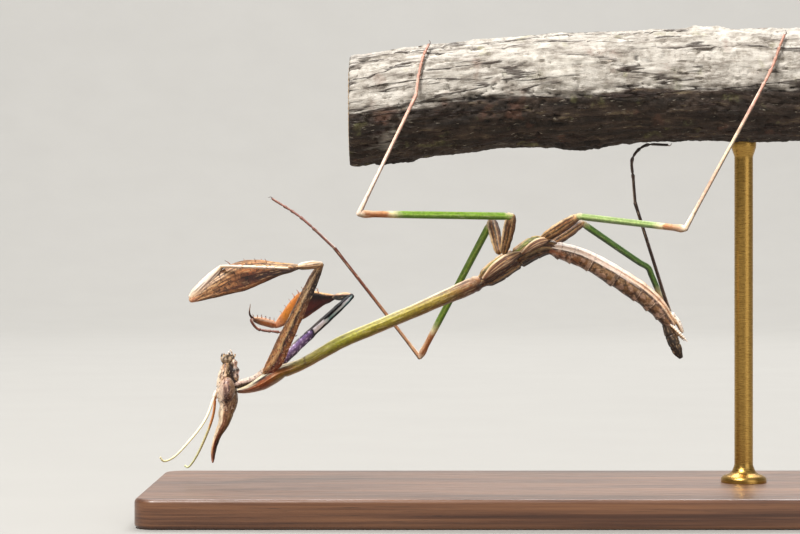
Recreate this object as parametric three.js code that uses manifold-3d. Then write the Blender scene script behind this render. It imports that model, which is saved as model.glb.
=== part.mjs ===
// A young conehead mantis hanging under a cut length of branch, on a display stand.
// Millimetres, +Z up. The origin is the centre of the stand's underside, on the floor.
// The insect faces -X and hangs upside down, so its back is towards -Z and its right side is towards -Y.

import * as THREE from "three";
import { mergeVertices } from "three/addons/utils/BufferGeometryUtils.js";
import Module from "manifold-3d";

const wasm = await Module();
wasm.setup();

// ---------------------------------------------------------------- driving dimensions

const GAP = 0.2;                       // clearance between neighbouring pieces
const SIDES = { right: -1, left: 1 };  // the sign of Y on each side of the body

const BASE = { length: 98, width: 42, height: 4, bevel: 0.6, corner: 3 };
const ROD = { x: 34.5, y: 2.5, radius: 1.3, sides: 16 };

const BRANCH = {
  radius: 7.8,
  line: [[-21, 56.2], [-8.4, 57.8], [11.2, 59.3], [28, 59.8], [48, 59.9]],
  knots: [[-14.5, -95, 1.7], [11.5, -85, 2], [-3, 100, 1.5], [29, 85, 1.6]],  // [x, angle, radius]
  knotStretch: 1.9,                    // a knot's length along the branch over its width
  knotSink: 0.6,                       // how much of a knot's radius is sunk in the bark
};

// Trunk axes in the X-Z plane, front to rear. A profile is [place along the axis, half width, half height].
const PROTHORAX = {
  axis: [
    [-36.6, 17.05], [-35.1, 17.4], [-33.4, 18.2], [-31.1, 19.55], [-28, 20.7], [-22.4, 23.8], [-14, 27.4],
    [-2.8, 32.3],
  ],
  profile: [
    [0, 0.6, 0.35], [0.04, 1.05, 0.6], [0.1, 1.75, 1.05], [0.14, 1.9, 1.1], [0.19, 1.55, 0.9],
    [0.26, 1.1, 0.78], [0.4, 0.95, 0.84], [0.75, 1, 0.9], [0.92, 1.15, 1.05], [0.98, 1.3, 1.1],
    [1, 1, 0.85],
  ],
  parting: 0.27,
};
const THORAX = {
  axis: [[-2.4, 32.5], [0, 34.2], [2.8, 35.9], [5.2, 37.2], [7, 37.2]],
  profile: [
    [0, 1, 0.9], [0.08, 1.35, 1.3], [0.3, 1.45, 1.5], [0.55, 1.4, 1.4], [0.8, 1.45, 1.55], [1, 1.1, 1],
  ],
  parting: 0.52,
};
const ABDOMEN = {
  axis: [[7.2, 36.9], [11.2, 35.8], [16.8, 32.7], [21.4, 29.4], [23.9, 26.4]],
  profile: [
    [0, 1.1, 0.9], [0.06, 1.4, 1.25], [0.36, 1.7, 1.45], [0.6, 1.75, 1.55], [0.8, 1.5, 1.45],
    [0.92, 1.25, 1.2], [1, 1, 0.95],
  ],
  borders: [0, 0.08, 0.17, 0.31, 0.51, 0.7, 0.82, 0.92, 1],
  flare: 0.07,                         // each segment is this much wider at its rear edge
};
const TAIL_LOBE = {
  line: [[23.4, 26.3], [24.4, 23.8], [25.3, 21.7]],
  profile: [[0, 0.8, 0.7], [0.35, 0.9, 0.8], [0.75, 0.75, 0.7], [1, 0.3, 0.3]],
};
const SUBGENITAL = {
  line: [[24.1, 27.7], [25, 26.5], [25.5, 25.3]],
  profile: [[0, 0.6, 0.4], [0.5, 0.6, 0.42], [1, 0.35, 0.28]],
};
const CERCUS = {
  line: [[23.8, 0.8, 26.3], [24.8, 1.3, 25.3], [26, 1.7, 24]],
  profile: [[0, 0.28, 0.28], [0.4, 0.33, 0.33], [1, 0.2, 0.2]],
};

// Leaf-shaped pads on the flanks. Lines with three numbers are the left one's, which the right one mirrors.
const WING_PADS = {
  fore: { line: [[-2.4, 1.5, 32.7], [-0.2, 1.95, 34.6], [2.8, 1.9, 36.4]], high: 0.85 },
  hind: { line: [[3, 1.75, 36.2], [5, 1.95, 37.6], [6.9, 1.8, 38.2]], high: 0.65 },
};

// The head hangs from the neck with its mouth up, and its long cone points down.
const HEAD = {
  axis: [[-38.3, 20.9], [-38.5, 19], [-38.3, 17.2], [-38, 15.7], [-38.2, 14.3]],
  profile: [
    [0, 0.75, 0.5], [0.12, 1.1, 0.72], [0.32, 1.55, 1.08], [0.55, 1.85, 1.33], [0.75, 1.75, 1.4],
    [0.9, 1.5, 1.2], [1, 1.35, 1.05],
  ],
};
const CONE = {
  axis: [[-38.2, 14.1], [-38.6, 12.6], [-39.5, 10.7], [-40.05, 8.9], [-40.2, 7.1]],
  profile: [
    [0, 1.3, 1], [0.2, 1, 0.73], [0.5, 0.7, 0.46], [0.8, 0.45, 0.35], [0.94, 0.3, 0.25], [1, 0.2, 0.16],
  ],
};
const EYE = { x: -38, y: 1.95, z: 17.4, halfX: 1.15, halfY: 1.35, halfZ: 1.8 };
const LIP = {                          // the lower lip, which closes the head towards the neck
  line: [[-37.55, 22], [-37.25, 20.9], [-37, 19.8], [-36.9, 18.8]],
  profile: [[0, 0.4, 0.25], [0.3, 0.75, 0.42], [0.75, 0.85, 0.5], [1, 0.6, 0.4]],
};
const JAWS = {
  line: [[-38.3, 21], [-38.1, 21.7], [-38, 22.3]],
  profile: [[0, 0.7, 0.55], [0.6, 0.6, 0.5], [1, 0.35, 0.3]],
};
const PALPS = {
  lines: [
    [[-38.5, 0.5, 21.1], [-38.95, 0.8, 21.6], [-39.1, 0.75, 22.2]],
    [[-38, 0.45, 21.2], [-37.4, 0.85, 21.8], [-37, 0.8, 22.6]],
  ],
  profile: [[0, 0.25, 0.25], [1, 0.2, 0.2]],
};
const NECK = {
  axis: [[-36.9, 17.9], [-35.6, 18.3], [-34.4, 18.7], [-33.2, 19.6], [-32.3, 20.5]],
  profile: [[0, 0.6, 0.55], [0.25, 0.9, 0.5], [0.6, 1.1, 0.5], [1, 0.9, 0.4]],
};
const ANTENNA = {
  profile: [[0, 0.36, 0.36], [0.12, 0.26, 0.26], [1, 0.26, 0.26]],   // thick at its first joint
  right: [
    [-39.7, -0.75, 17], [-41, -3, 13.2], [-43.2, -4.5, 10.2], [-45.3, -6, 8.1], [-46.4, -6.8, 7.8],
    [-46.8, -7, 8.3],
  ],
  left: [
    [-39.9, 0.75, 16.6], [-40.3, 2, 13.6], [-41.9, 4, 9.5], [-43.5, 5.5, 6.6], [-44.3, 6, 5.8],
    [-44.7, 6.1, 6],
  ],
};

// Lengths of the leg segments: paired legs are alike.
const LENGTH = {
  fore: { coxa: 16.2, trochanter: 3.8, femur: 15.2, tibia: 5.8 },
  mid: { coxa: 6.2, femur: 24.8, tibia: 20.4 },
  hind: { coxa: 6.4, femur: 24, tibia: 23 },
};

// Where each leg leaves the trunk, and the azimuth and elevation of each segment in degrees.
const POSE = {
  fore_right: {
    root: [-31.7, -1.5, 20.6],
    coxa: [-29.5, 61],
    coxaTurn: 0,                       // how far the coxa is rolled about its own length
    trochanter: [-148, -6],
    femur: [-168, -17],
    tibia: [12, 44.5],
    kneeRise: 0.4,                     // how far above the femur's end the tibia is hinged
    claw: [[0.8, 0.15, 0.1], [1.7, 0.3, -0.3]],                     // from the end of the tibia
    foot: [[0.3, -0.7, 0.05], [3.6, -0.6, 0], [9, -0.1, -0.2]],     // from the end of the tibia
    femurSpines: 3,                    // closed, so that few of its spines show
    tibiaSpines: 0,
  },
  fore_left: {
    root: [-30.9, 1.5, 21],
    coxa: [42, 34.5],
    coxaTurn: 45,
    trochanter: [135.5, -3.5],
    femur: [128.8, -17],
    tibia: [-124, 10],
    kneeRise: 0.1,
    claw: [[-0.35, -0.7, 0.8], [-0.2, -1.2, 2.3]],
    foot: [[-0.1, -0.6, -0.2], [0.8, -0.3, -1.4], [3.8, -0.3, -1.9], [6.2, 0.2, -2.4]],
    femurSpines: 6,
    tibiaSpines: 6,
  },
  mid_right: { root: [0.5, -1.3, 36.5], coxa: [-77, 51.5], femur: [-147, 0], tibia: [51, 53.5] },
  mid_left: { root: [-0.1, 1.1, 36.5], coxa: [101, 46.5], femur: [133.5, -53.5], tibia: [180, 52] },
  hind_right: { root: [6.1, -1.1, 38.4], coxa: [-38, 27.5], femur: [-59.5, -5], tibia: [48.5, 46.5] },
  hind_left: {
    root: [7.2, 1.2, 37.7],
    coxa: [35.5, 27],
    femur: [43.2, -33.6],
    femurChord: 23,                    // bent, so that its ends are nearer than its length
    tibia: [-113.2, 42.5],
  },
};

// Half thicknesses of each leg segment: [place along it, across, up].
const HIP_END = [1, 0.4, 0.42];
const KNEE_END = [1, 0.3, 0.32];
const SHIN = [[0, 0.3, 0.34], [0.05, 0.3, 0.32], [1, 0.25, 0.25]];
const LIMB_PROFILE = {
  fore_coxa: [[0, 0.6, 0.8], [0.08, 0.7, 1.1], [0.5, 0.6, 0.95], [0.88, 0.5, 0.68], HIP_END],
  fore_trochanter: [[0, 0.3, 0.35], [0.35, 0.5, 0.55], [0.75, 0.45, 0.5], [1, 0.3, 0.3]],
  fore_femur: [
    [0, 0.3, 0.4], [0.15, 0.42, 0.8], [0.36, 0.52, 1.65], [0.5, 0.55, 1.95], [0.7, 0.5, 1.5],
    [0.88, 0.42, 0.85], [1, 0.3, 0.4],
  ],
  fore_tibia: [[0, 0.3, 0.38], [0.15, 0.4, 0.6], [0.6, 0.36, 0.58], [1, 0.26, 0.3]],
  mid_coxa: [[0, 0.5, 0.5], [0.3, 0.6, 0.68], [0.85, 0.62, 0.75], [1, 0.45, 0.5]],
  mid_femur: [[0, 0.42, 0.45], [0.06, 0.5, 0.55], [0.75, 0.46, 0.48], [0.94, 0.4, 0.5], KNEE_END],
  mid_tibia: SHIN,
  hind_coxa: [[0, 0.55, 0.55], [0.3, 0.65, 0.75], [0.85, 0.6, 0.62], HIP_END],
  hind_femur: [[0, 0.4, 0.42], [0.06, 0.48, 0.5], [0.75, 0.42, 0.44], [0.94, 0.42, 0.5], KNEE_END],
  hind_tibia: SHIN,
};
const FORE_FEMUR_BOW = 1.05;           // how far the front femur arches towards its spines
const LEFT_HIND_BEND = [                // that femur turns sharply here
  [20.9, 13.8, 35.1], [22.5, 15.4, 34.2], [23, 15.95, 33.2], [24.5, 17.2, 30.1],
];
const TARSUS = [[0, 0.26, 0.26], [1, 0.22, 0.22]];
const SPINE = { radius: 0.2, tip: 0.05, sides: 4, sunk: 0.25 };
const CLAW_RADIUS = 0.26;
const FEMUR_SPINES = { from: 0.25, to: 0.62, length: 0.75, lean: 0.25, spread: 0.22 };
const TIBIA_SPINES = { from: 0.2, to: 0.9, length: 0.6, lean: 0.5, spread: 0.2 };

// Where the tarsi of the gripping legs lie on the bark: [x, angle from front to top, clearance].
const GRIP = {
  mid_right: [[-11.4, 20, 0.7], [-10.7, 45, 0.45], [-10, 64, 0.5]],
  hind_right: [[36.9, 14, 0.7], [38, 34, 0.5], [38.9, 50, 0.5]],
  hind_left: [[20.4, -86, 0.5], [23.4, -86, 0.5]],
};
const HIND_LEFT_BASITARSUS = [[3.75, -102, 54], [7.5, -100.5, 54]];   // lengths, azimuths, elevations
const MID_LEFT_TOES = [[7.3, 154, 39], [13.4, 147.5, 33.5]];   // free in the air, from the ankle

// ---------------------------------------------------------------- shape making

const UP = new THREE.Vector3(0, 0, 1);
const ACROSS = new THREE.Vector3(0, 1, 0);
const point = (x, y, z) => new THREE.Vector3(x, y, z);
const inPlane = (line) => line.map(([x, z]) => point(x, 0, z));
const onSide = (line, sign) => line.map(([x, y, z]) => point(x, sign * y, z));
const smoothLine = (points) => new THREE.CatmullRomCurve3(points, false, "centripetal");

function heading([azimuth, elevation]) {
  const turn = THREE.MathUtils.degToRad(azimuth);
  const rise = THREE.MathUtils.degToRad(elevation);
  return point(Math.cos(rise) * Math.cos(turn), Math.cos(rise) * Math.sin(turn), Math.sin(rise));
}

/** Half sizes at a place along a profile, by straight lines between its stations. */
function halfSizes(profile, at) {
  const next = Math.max(profile.findIndex(([station]) => station >= at - 1e-9), 1);
  const [toAt, toWide, toHigh] = profile[next];
  const [fromAt, fromWide, fromHigh] = profile[next - 1];
  const mix = (at - fromAt) / (toAt - fromAt);
  return [THREE.MathUtils.lerp(fromWide, toWide, mix), THREE.MathUtils.lerp(fromHigh, toHigh, mix)];
}

/** Forward, sideways and upward directions of a curve at a place. */
function frameAt(curve, at, across) {
  const along = curve.getTangentAt(at);
  const side = across.clone().addScaledVector(along, -across.dot(along)).normalize();
  return { along, side, up: side.clone().cross(along) };
}

function solid(geometry) {
  const { position } = geometry.attributes;
  const mesh = new wasm.Mesh({
    numProp: 3,
    vertProperties: Float32Array.from(position.array),
    triVerts: Uint32Array.from(geometry.index.array),
  });
  return new wasm.Manifold(mesh);
}

function weld(geometry) {
  geometry.deleteAttribute("normal");
  geometry.deleteAttribute("uv");
  return mergeVertices(geometry);
}

/** A body along a curve: a unit cylinder bent to it. Each shape is a function of how far it is grown. */
function limb({ curve, profile, sides = 8, steps = 6, across = ACROSS, from = 0, to = 1, flare = 0 }) {
  return (grow = 0) => {
    const geometry = weld(new THREE.CylinderGeometry(1, 1, 1, sides, steps));
    const { position } = geometry.attributes;
    for (let i = 0; i < position.count; i += 1) {
      const run = (1 - Math.cos(Math.PI * (position.getY(i) + 0.5))) / 2;
      const at = THREE.MathUtils.clamp(from + (to - from) * run, 0, 1);
      const { along, side, up } = frameAt(curve, at, across);
      const widen = 1 + flare * (run - 0.5);
      const [wide, high] = halfSizes(profile, at).map((half) => half * widen + grow);
      const spot = curve.getPointAt(at);
      spot.addScaledVector(side, position.getX(i) * wide);
      spot.addScaledVector(up, position.getZ(i) * high);
      spot.addScaledVector(along, grow * (2 * run - 1));
      position.setXYZ(i, spot.x, spot.y, spot.z);
    }
    return solid(geometry);
  };
}

function ball({ centre, half, sides = 12, rings = 8 }) {
  return (grow = 0) => {
    const geometry = new THREE.SphereGeometry(1, sides, rings);
    geometry.scale(half.x + grow, half.y + grow, half.z + grow);
    geometry.translate(centre.x, centre.y, centre.z);
    return solid(weld(geometry));
  };
}

const SPIKE_TURN = point(0.31, 0.83, 0.47);   // a skew direction, so that no spike lies along it

/** A straight or bent spike from a foot to a tip. */
function spike(points, radius = SPINE.radius) {
  return limb({
    curve: smoothLine(points),
    profile: [[0, radius, radius], [1, SPINE.tip, SPINE.tip]],
    sides: SPINE.sides,
    steps: points.length - 1,
    across: SPIKE_TURN,
  });
}

/** One body made of several that overlap. */
function joined(first, ...others) {
  return (grow = 0) => others.reduce((body, other) => body.add(other(grow)), first(grow));
}

// ---------------------------------------------------------------- the model and its finishes

const LOOKS = {
  face: { color: 0xc2a68a, roughness: 0.65, metalness: 0 },
  cone: { color: 0x9a6a52, roughness: 0.6, metalness: 0 },
  eye: { color: 0xa98f86, roughness: 0.35, metalness: 0 },
  feeler: { color: 0xd9cfa4, roughness: 0.5, metalness: 0 },
  shield: { color: 0xa4683a, roughness: 0.55, metalness: 0 },
  shaft: { color: 0xa49a3c, roughness: 0.5, metalness: 0 },
  thorax: { color: 0x84603f, roughness: 0.65, metalness: 0 },
  wing_pad: { color: 0x7a4c38, roughness: 0.6, metalness: 0 },
  tergite: { color: 0x7a6242, roughness: 0.65, metalness: 0 },
  tail: { color: 0x3a2d22, roughness: 0.6, metalness: 0 },
  pale: { color: 0xe2d0b2, roughness: 0.6, metalness: 0 },
  raptorial: { color: 0xb39468, roughness: 0.6, metalness: 0 },
  inner_coxa: { color: 0x8a7fae, roughness: 0.45, metalness: 0 },
  green_leg: { color: 0x8fbf2a, roughness: 0.45, metalness: 0 },
  brown_leg: { color: 0x9c7a56, roughness: 0.6, metalness: 0 },
  shin: { color: 0xd0b594, roughness: 0.55, metalness: 0 },
  bark: { color: 0x8c857a, roughness: 0.9, metalness: 0 },
  stand_wood: { color: 0x5a3a26, roughness: 0.45, metalness: 0 },
  stand_metal: { color: 0xb08d4f, roughness: 0.3, metalness: 1 },
};

const model = new THREE.Group();
const shapes = {};

/** Adds one named piece, cut back to clear the neighbours it would touch. Crumbs of the cut are dropped. */
function place(name, look, shape, neighbours = []) {
  const clear = neighbours.reduce((body, other) => body.subtract(shapes[other](GAP)), shape());
  const [main] = clear.decompose().sort((one, other) => other.volume() - one.volume());
  const { numProp, vertProperties, triVerts } = main.getMesh();
  const geometry = new THREE.BufferGeometry();
  geometry.setAttribute("position", new THREE.BufferAttribute(vertProperties, numProp));
  geometry.setIndex(new THREE.BufferAttribute(triVerts, 1));
  const mesh = new THREE.Mesh(geometry, new THREE.MeshStandardMaterial(LOOKS[look]));
  mesh.name = name;
  model.add(mesh);
  shapes[name] = shape;
}

// ---------------------------------------------------------------- stand and perch

const branchAxis = smoothLine(inPlane(BRANCH.line));

function branchCentre(x) {
  const start = BRANCH.line[0][0];
  const end = BRANCH.line.at(-1)[0];
  return branchAxis.getPointAt((x - start) / (end - start));
}

/** A point off the bark: the angle turns from the front of the branch to its top. */
function offBark(x, angle, clearance) {
  const turn = THREE.MathUtils.degToRad(angle);
  const reach = BRANCH.radius + clearance;
  return branchCentre(x).add(point(0, -Math.cos(turn) * reach, Math.sin(turn) * reach));
}

function makeBranch() {
  const profile = [[0, BRANCH.radius, BRANCH.radius], [1, BRANCH.radius, BRANCH.radius]];
  const bark = limb({ curve: branchAxis, profile, sides: 20, steps: 7 });
  const knots = BRANCH.knots.map(([x, angle, size]) => {
    const centre = offBark(x, angle, -size * BRANCH.knotSink);
    return ball({ centre, half: point(size * BRANCH.knotStretch, size, size), sides: 8, rings: 5 });
  });
  place("perch_branch", "bark", joined(bark, ...knots));
}

function makeStand() {
  const half = { x: BASE.length / 2 - BASE.bevel, y: BASE.width / 2 - BASE.bevel };
  const outline = new THREE.Shape();
  const { corner } = BASE;
  outline.absarc(half.x - corner, half.y - corner, corner, 0, Math.PI / 2);
  outline.absarc(corner - half.x, half.y - corner, corner, Math.PI / 2, Math.PI);
  outline.absarc(corner - half.x, corner - half.y, corner, Math.PI, 1.5 * Math.PI);
  outline.absarc(half.x - corner, corner - half.y, corner, 1.5 * Math.PI, 2 * Math.PI);
  outline.closePath();
  const slab = new THREE.ExtrudeGeometry(outline, {
    depth: BASE.height - 2 * BASE.bevel,
    bevelThickness: BASE.bevel,
    bevelSize: BASE.bevel,
    bevelSegments: 1,
    curveSegments: 2,
  });
  slab.translate(0, 0, BASE.bevel);
  const slabSolid = solid(weld(slab));
  place("stand_base", "stand_wood", () => slabSolid);

  const top = branchCentre(ROD.x).z;
  const rod = limb({
    curve: smoothLine([point(ROD.x, ROD.y, BASE.height + GAP), point(ROD.x, ROD.y, top)]),
    profile: [[0, ROD.radius, ROD.radius], [1, ROD.radius, ROD.radius]],
    sides: ROD.sides,
    steps: 1,
  });
  place("stand_rod", "stand_metal", rod, ["perch_branch"]);
}

// ---------------------------------------------------------------- trunk

function makeTrunk() {
  const chest = smoothLine(inPlane(PROTHORAX.axis));
  const chestPart = { curve: chest, profile: PROTHORAX.profile };
  place("prothorax_shield", "shield", limb({ ...chestPart, sides: 12, steps: 9, to: PROTHORAX.parting }));
  const shaft = limb({ ...chestPart, sides: 10, steps: 7, from: PROTHORAX.parting });
  place("prothorax_shaft", "shaft", shaft, ["prothorax_shield"]);

  const middle = smoothLine(inPlane(THORAX.axis));
  const middlePart = { curve: middle, profile: THORAX.profile, sides: 12, steps: 4 };
  place("mesothorax", "thorax", limb({ ...middlePart, to: THORAX.parting }), ["prothorax_shaft"]);
  place("metathorax", "thorax", limb({ ...middlePart, from: THORAX.parting }), ["mesothorax"]);

  const belly = smoothLine(inPlane(ABDOMEN.axis));
  let before = "metathorax";
  for (let i = 1; i < ABDOMEN.borders.length; i += 1) {
    const [from, to] = ABDOMEN.borders.slice(i - 1, i + 1);
    const ring = limb({ ...ABDOMEN, curve: belly, sides: 12, steps: 2, from, to });
    place(`abdomen_${i}`, "tergite", ring, [before]);
    before = `abdomen_${i}`;
  }
}

function makeTailEnd() {
  const lobe = limb({ ...TAIL_LOBE, curve: smoothLine(inPlane(TAIL_LOBE.line)), steps: 5 });
  place("supra_anal_plate", "tail", lobe, ["abdomen_8"]);
  const keel = limb({ ...SUBGENITAL, curve: smoothLine(inPlane(SUBGENITAL.line)), steps: 3 });
  place("subgenital_plate", "pale", keel, ["abdomen_8", "supra_anal_plate"]);
  for (const [side, sign] of Object.entries(SIDES)) {
    const cercus = limb({ ...CERCUS, curve: smoothLine(onSide(CERCUS.line, sign)), sides: 6, steps: 4 });
    place(`cercus_${side}`, "pale", cercus, ["abdomen_8", "supra_anal_plate", "subgenital_plate"]);
  }
}

function makeWingPads() {
  const thorax = ["mesothorax", "metathorax", "abdomen_1"];
  for (const [side, sign] of Object.entries(SIDES)) {
    for (const [pair, { line, high }] of Object.entries(WING_PADS)) {
      const leaf = limb({
        curve: smoothLine(onSide(line, sign)),
        profile: [[0, 0.26, 0.3], [0.3, 0.28, high * 0.85], [0.7, 0.28, high], [1, 0.26, 0.25]],
        steps: 4,
      });
      const padBefore = pair === "hind" ? [`wing_pad_fore_${side}`] : [];
      place(`wing_pad_${pair}_${side}`, "wing_pad", leaf, [...thorax, ...padBefore]);
    }
  }
}

// ---------------------------------------------------------------- head

function makeHead() {
  for (const [side, sign] of Object.entries(SIDES)) {
    const half = point(EYE.halfX, EYE.halfY, EYE.halfZ);
    place(`eye_${side}`, "eye", ball({ centre: point(EYE.x, sign * EYE.y, EYE.z), half }));
  }
  const eyes = ["eye_right", "eye_left"];
  const skull = limb({ ...HEAD, curve: smoothLine(inPlane(HEAD.axis)), sides: 16, steps: 8 });
  place("head", "face", skull, eyes);
  const cone = limb({ ...CONE, curve: smoothLine(inPlane(CONE.axis)), sides: 12, steps: 6 });
  place("head_cone", "cone", cone, ["head", ...eyes]);

  const jaws = limb({ ...JAWS, curve: smoothLine(inPlane(JAWS.line)), steps: 4 });
  const lip = limb({ ...LIP, curve: smoothLine(inPlane(LIP.line)), steps: 4 });
  place("labium", "face", lip, ["head", ...eyes]);
  const palps = Object.values(SIDES).flatMap((sign) => PALPS.lines.map((line) => (
    limb({ ...PALPS, curve: smoothLine(onSide(line, sign)), sides: 5, steps: 2 })
  )));
  place("mouthparts", "face", joined(jaws, ...palps), ["head", "labium"]);

  const neck = limb({ ...NECK, curve: smoothLine(inPlane(NECK.axis)), steps: 4 });
  place("neck", "pale", neck, ["head", "labium", "prothorax_shield", ...eyes]);
  for (const side of Object.keys(SIDES)) {
    const line = smoothLine(onSide(ANTENNA[side], 1));
    const feeler = limb({ ...ANTENNA, curve: line, sides: 6, steps: 9 });
    place(`antenna_${side}`, "feeler", feeler, ["head", "head_cone", ...eyes]);
  }
}

// ---------------------------------------------------------------- legs

/** The direction across a blade-like limb: level, and square to it. */
const acrossBlade = (direction) => direction.clone().cross(UP).normalize();
const rolled = (across, about, turn) => across.applyAxisAngle(about, THREE.MathUtils.degToRad(turn));

function stretch(start, length, angles) {
  return start.clone().addScaledVector(heading(angles), length);
}

const from = (start, steps) => steps.map((step) => start.clone().add(point(...step)));

/** Spines in two close rows along the upper edge of a blade, leaning towards its far end. */
function spineRow(curve, profile, { count, from: first, to: last, length, lean, spread }) {
  const across = acrossBlade(curve.getTangentAt(0.5));
  return Array.from({ length: count }, (_, i) => {
    const at = THREE.MathUtils.lerp(first, last, i / (count - 1));
    const { along, side, up } = frameAt(curve, at, across);
    const [, high] = halfSizes(profile, at);
    const out = i % 2 ? spread : -spread;
    const foot = curve.getPointAt(at).addScaledVector(up, high - SPINE.sunk).addScaledVector(side, out / 2);
    const tip = foot.clone().addScaledVector(up, length + SPINE.sunk).addScaledVector(along, lean * length);
    return spike([foot, tip.addScaledVector(side, out)]);
  });
}

function makeForeLeg(side) {
  const pose = POSE[`fore_${side}`];
  const size = LENGTH.fore;
  const root = point(...pose.root);
  const hip = stretch(root, size.coxa, pose.coxa);
  const ring = stretch(hip, size.trochanter, pose.trochanter);
  const knee = stretch(ring, size.femur, pose.femur);
  const hinge = knee.clone().addScaledVector(UP, pose.kneeRise);
  const tip = stretch(hinge, size.tibia, pose.tibia);
  const name = (part) => `fore_${part}_${side}`;

  const coxa = limb({
    curve: smoothLine([root, hip]),
    profile: LIMB_PROFILE.fore_coxa,
    across: rolled(acrossBlade(heading(pose.coxa)), heading(pose.coxa), pose.coxaTurn),
  });
  const coxaLook = side === "right" ? "raptorial" : "inner_coxa";
  place(name("coxa"), coxaLook, coxa, ["prothorax_shield", "prothorax_shaft", "neck"]);

  const leaf = smoothLine([hip, ring]);
  const trochanter = limb({ curve: leaf, profile: LIMB_PROFILE.fore_trochanter, steps: 4 });
  place(name("trochanter"), "pale", trochanter, [name("coxa")]);

  const arch = ring.clone().lerp(knee, 0.5).addScaledVector(UP, FORE_FEMUR_BOW);
  const femurLine = smoothLine([ring, arch, knee]);
  const blade = limb({
    curve: femurLine,
    profile: LIMB_PROFILE.fore_femur,
    steps: 9,
    across: acrossBlade(heading(pose.femur)),
  });
  const rowOnFemur = { ...FEMUR_SPINES, count: pose.femurSpines };
  const femur = joined(blade, ...spineRow(femurLine, LIMB_PROFILE.fore_femur, rowOnFemur));
  place(name("femur"), "raptorial", femur, [name("trochanter"), name("coxa")]);

  const tibiaLine = smoothLine([hinge, tip]);
  const shank = limb({
    curve: tibiaLine,
    profile: LIMB_PROFILE.fore_tibia,
    steps: 5,
    across: acrossBlade(heading(pose.tibia)),
  });
  const claw = spike([tip, ...from(tip, pose.claw)], CLAW_RADIUS);
  const spines = spineRow(tibiaLine, LIMB_PROFILE.fore_tibia, { ...TIBIA_SPINES, count: pose.tibiaSpines });
  place(name("tibia"), "raptorial", joined(shank, claw, ...spines), [name("femur"), name("trochanter")]);

  const toes = limb({ curve: smoothLine(from(tip, pose.foot)), profile: TARSUS, sides: 6 });
  place(name("tarsus"), "shin", toes, [name("femur"), name("tibia"), name("trochanter")]);
}

function makeWalkingLeg(pair, side, toesFrom, bend = []) {
  const pose = POSE[`${pair}_${side}`];
  const size = LENGTH[pair];
  const root = point(...pose.root);
  const hip = stretch(root, size.coxa, pose.coxa);
  const knee = stretch(hip, pose.femurChord ?? size.femur, pose.femur);
  const ankle = stretch(knee, size.tibia, pose.tibia);
  const name = (part) => `${pair}_${part}_${side}`;
  const pads = [`wing_pad_fore_${side}`, `wing_pad_hind_${side}`];
  const trunk = ["mesothorax", "metathorax", "abdomen_1", "abdomen_2"];

  const coxa = limb({ curve: smoothLine([root, hip]), profile: LIMB_PROFILE[`${pair}_coxa`], steps: 5 });
  place(name("coxa"), "brown_leg", coxa, [...trunk, ...pads]);

  const thigh = smoothLine([hip, ...bend.map((spot) => point(...spot)), knee]);
  const femur = limb({ curve: thigh, profile: LIMB_PROFILE[`${pair}_femur`], steps: bend.length ? 10 : 6 });
  place(name("femur"), "green_leg", femur, [name("coxa")]);

  const shin = smoothLine([knee, ankle]);
  const tibia = limb({ curve: shin, profile: LIMB_PROFILE[`${pair}_tibia`], sides: 6, steps: 5 });
  place(name("tibia"), "shin", tibia, [name("femur")]);

  const toes = smoothLine([ankle, ...toesFrom(ankle)]);
  const tarsus = limb({ curve: toes, profile: TARSUS, sides: 6, steps: 7 });
  place(name("tarsus"), "shin", tarsus, [name("tibia"), "perch_branch"]);
}

const gripping = (leg) => GRIP[leg].map((spot) => offBark(...spot));
const inTheAir = (ankle, toes) => toes.map(([length, ...angles]) => stretch(ankle, length, angles));

makeBranch();
makeStand();
makeTrunk();
makeTailEnd();
makeWingPads();
makeHead();
makeForeLeg("right");
makeForeLeg("left");
makeWalkingLeg("mid", "right", () => gripping("mid_right"));
makeWalkingLeg("mid", "left", (ankle) => inTheAir(ankle, MID_LEFT_TOES));
makeWalkingLeg("hind", "right", () => gripping("hind_right"));
makeWalkingLeg(
  "hind",
  "left",
  (ankle) => [...inTheAir(ankle, HIND_LEFT_BASITARSUS), ...gripping("hind_left")],
  LEFT_HIND_BEND,
);

export default model;
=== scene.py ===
import math

import bpy
import numpy as np
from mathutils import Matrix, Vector, noise


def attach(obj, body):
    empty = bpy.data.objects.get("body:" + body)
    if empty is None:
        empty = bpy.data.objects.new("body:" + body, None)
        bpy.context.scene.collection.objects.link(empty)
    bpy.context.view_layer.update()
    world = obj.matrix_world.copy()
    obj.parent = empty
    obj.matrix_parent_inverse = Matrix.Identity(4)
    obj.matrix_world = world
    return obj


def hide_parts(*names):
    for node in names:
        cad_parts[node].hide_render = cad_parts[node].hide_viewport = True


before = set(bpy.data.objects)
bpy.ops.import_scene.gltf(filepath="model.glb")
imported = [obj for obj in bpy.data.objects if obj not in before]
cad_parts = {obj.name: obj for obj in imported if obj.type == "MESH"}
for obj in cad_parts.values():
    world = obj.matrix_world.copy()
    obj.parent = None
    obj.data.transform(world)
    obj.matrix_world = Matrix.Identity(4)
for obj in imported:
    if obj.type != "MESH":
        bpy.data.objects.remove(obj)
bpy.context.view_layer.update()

# The insect hangs upside down and faces -X. Its right side is towards -Y, the camera.
# Sizes are in millimetres, as in the CAD part, until a mesh is made.
MM = 0.001
UP = np.array([0.0, 0.0, 1.0])
SIDES = {"right": -1, "left": 1}

# ---------------------------------------------------------------- lines, sizes and shapes


def unit(v):
    return v / np.linalg.norm(v, axis=-1, keepdims=True)


def hermite(a, b, start, end, u):
    """The smooth way from a to b with a slope at each end."""
    return a + start * u + (3 * (b - a) - 2 * start - end) * u**2 + (2 * (a - b) + start + end) * u**3


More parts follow.
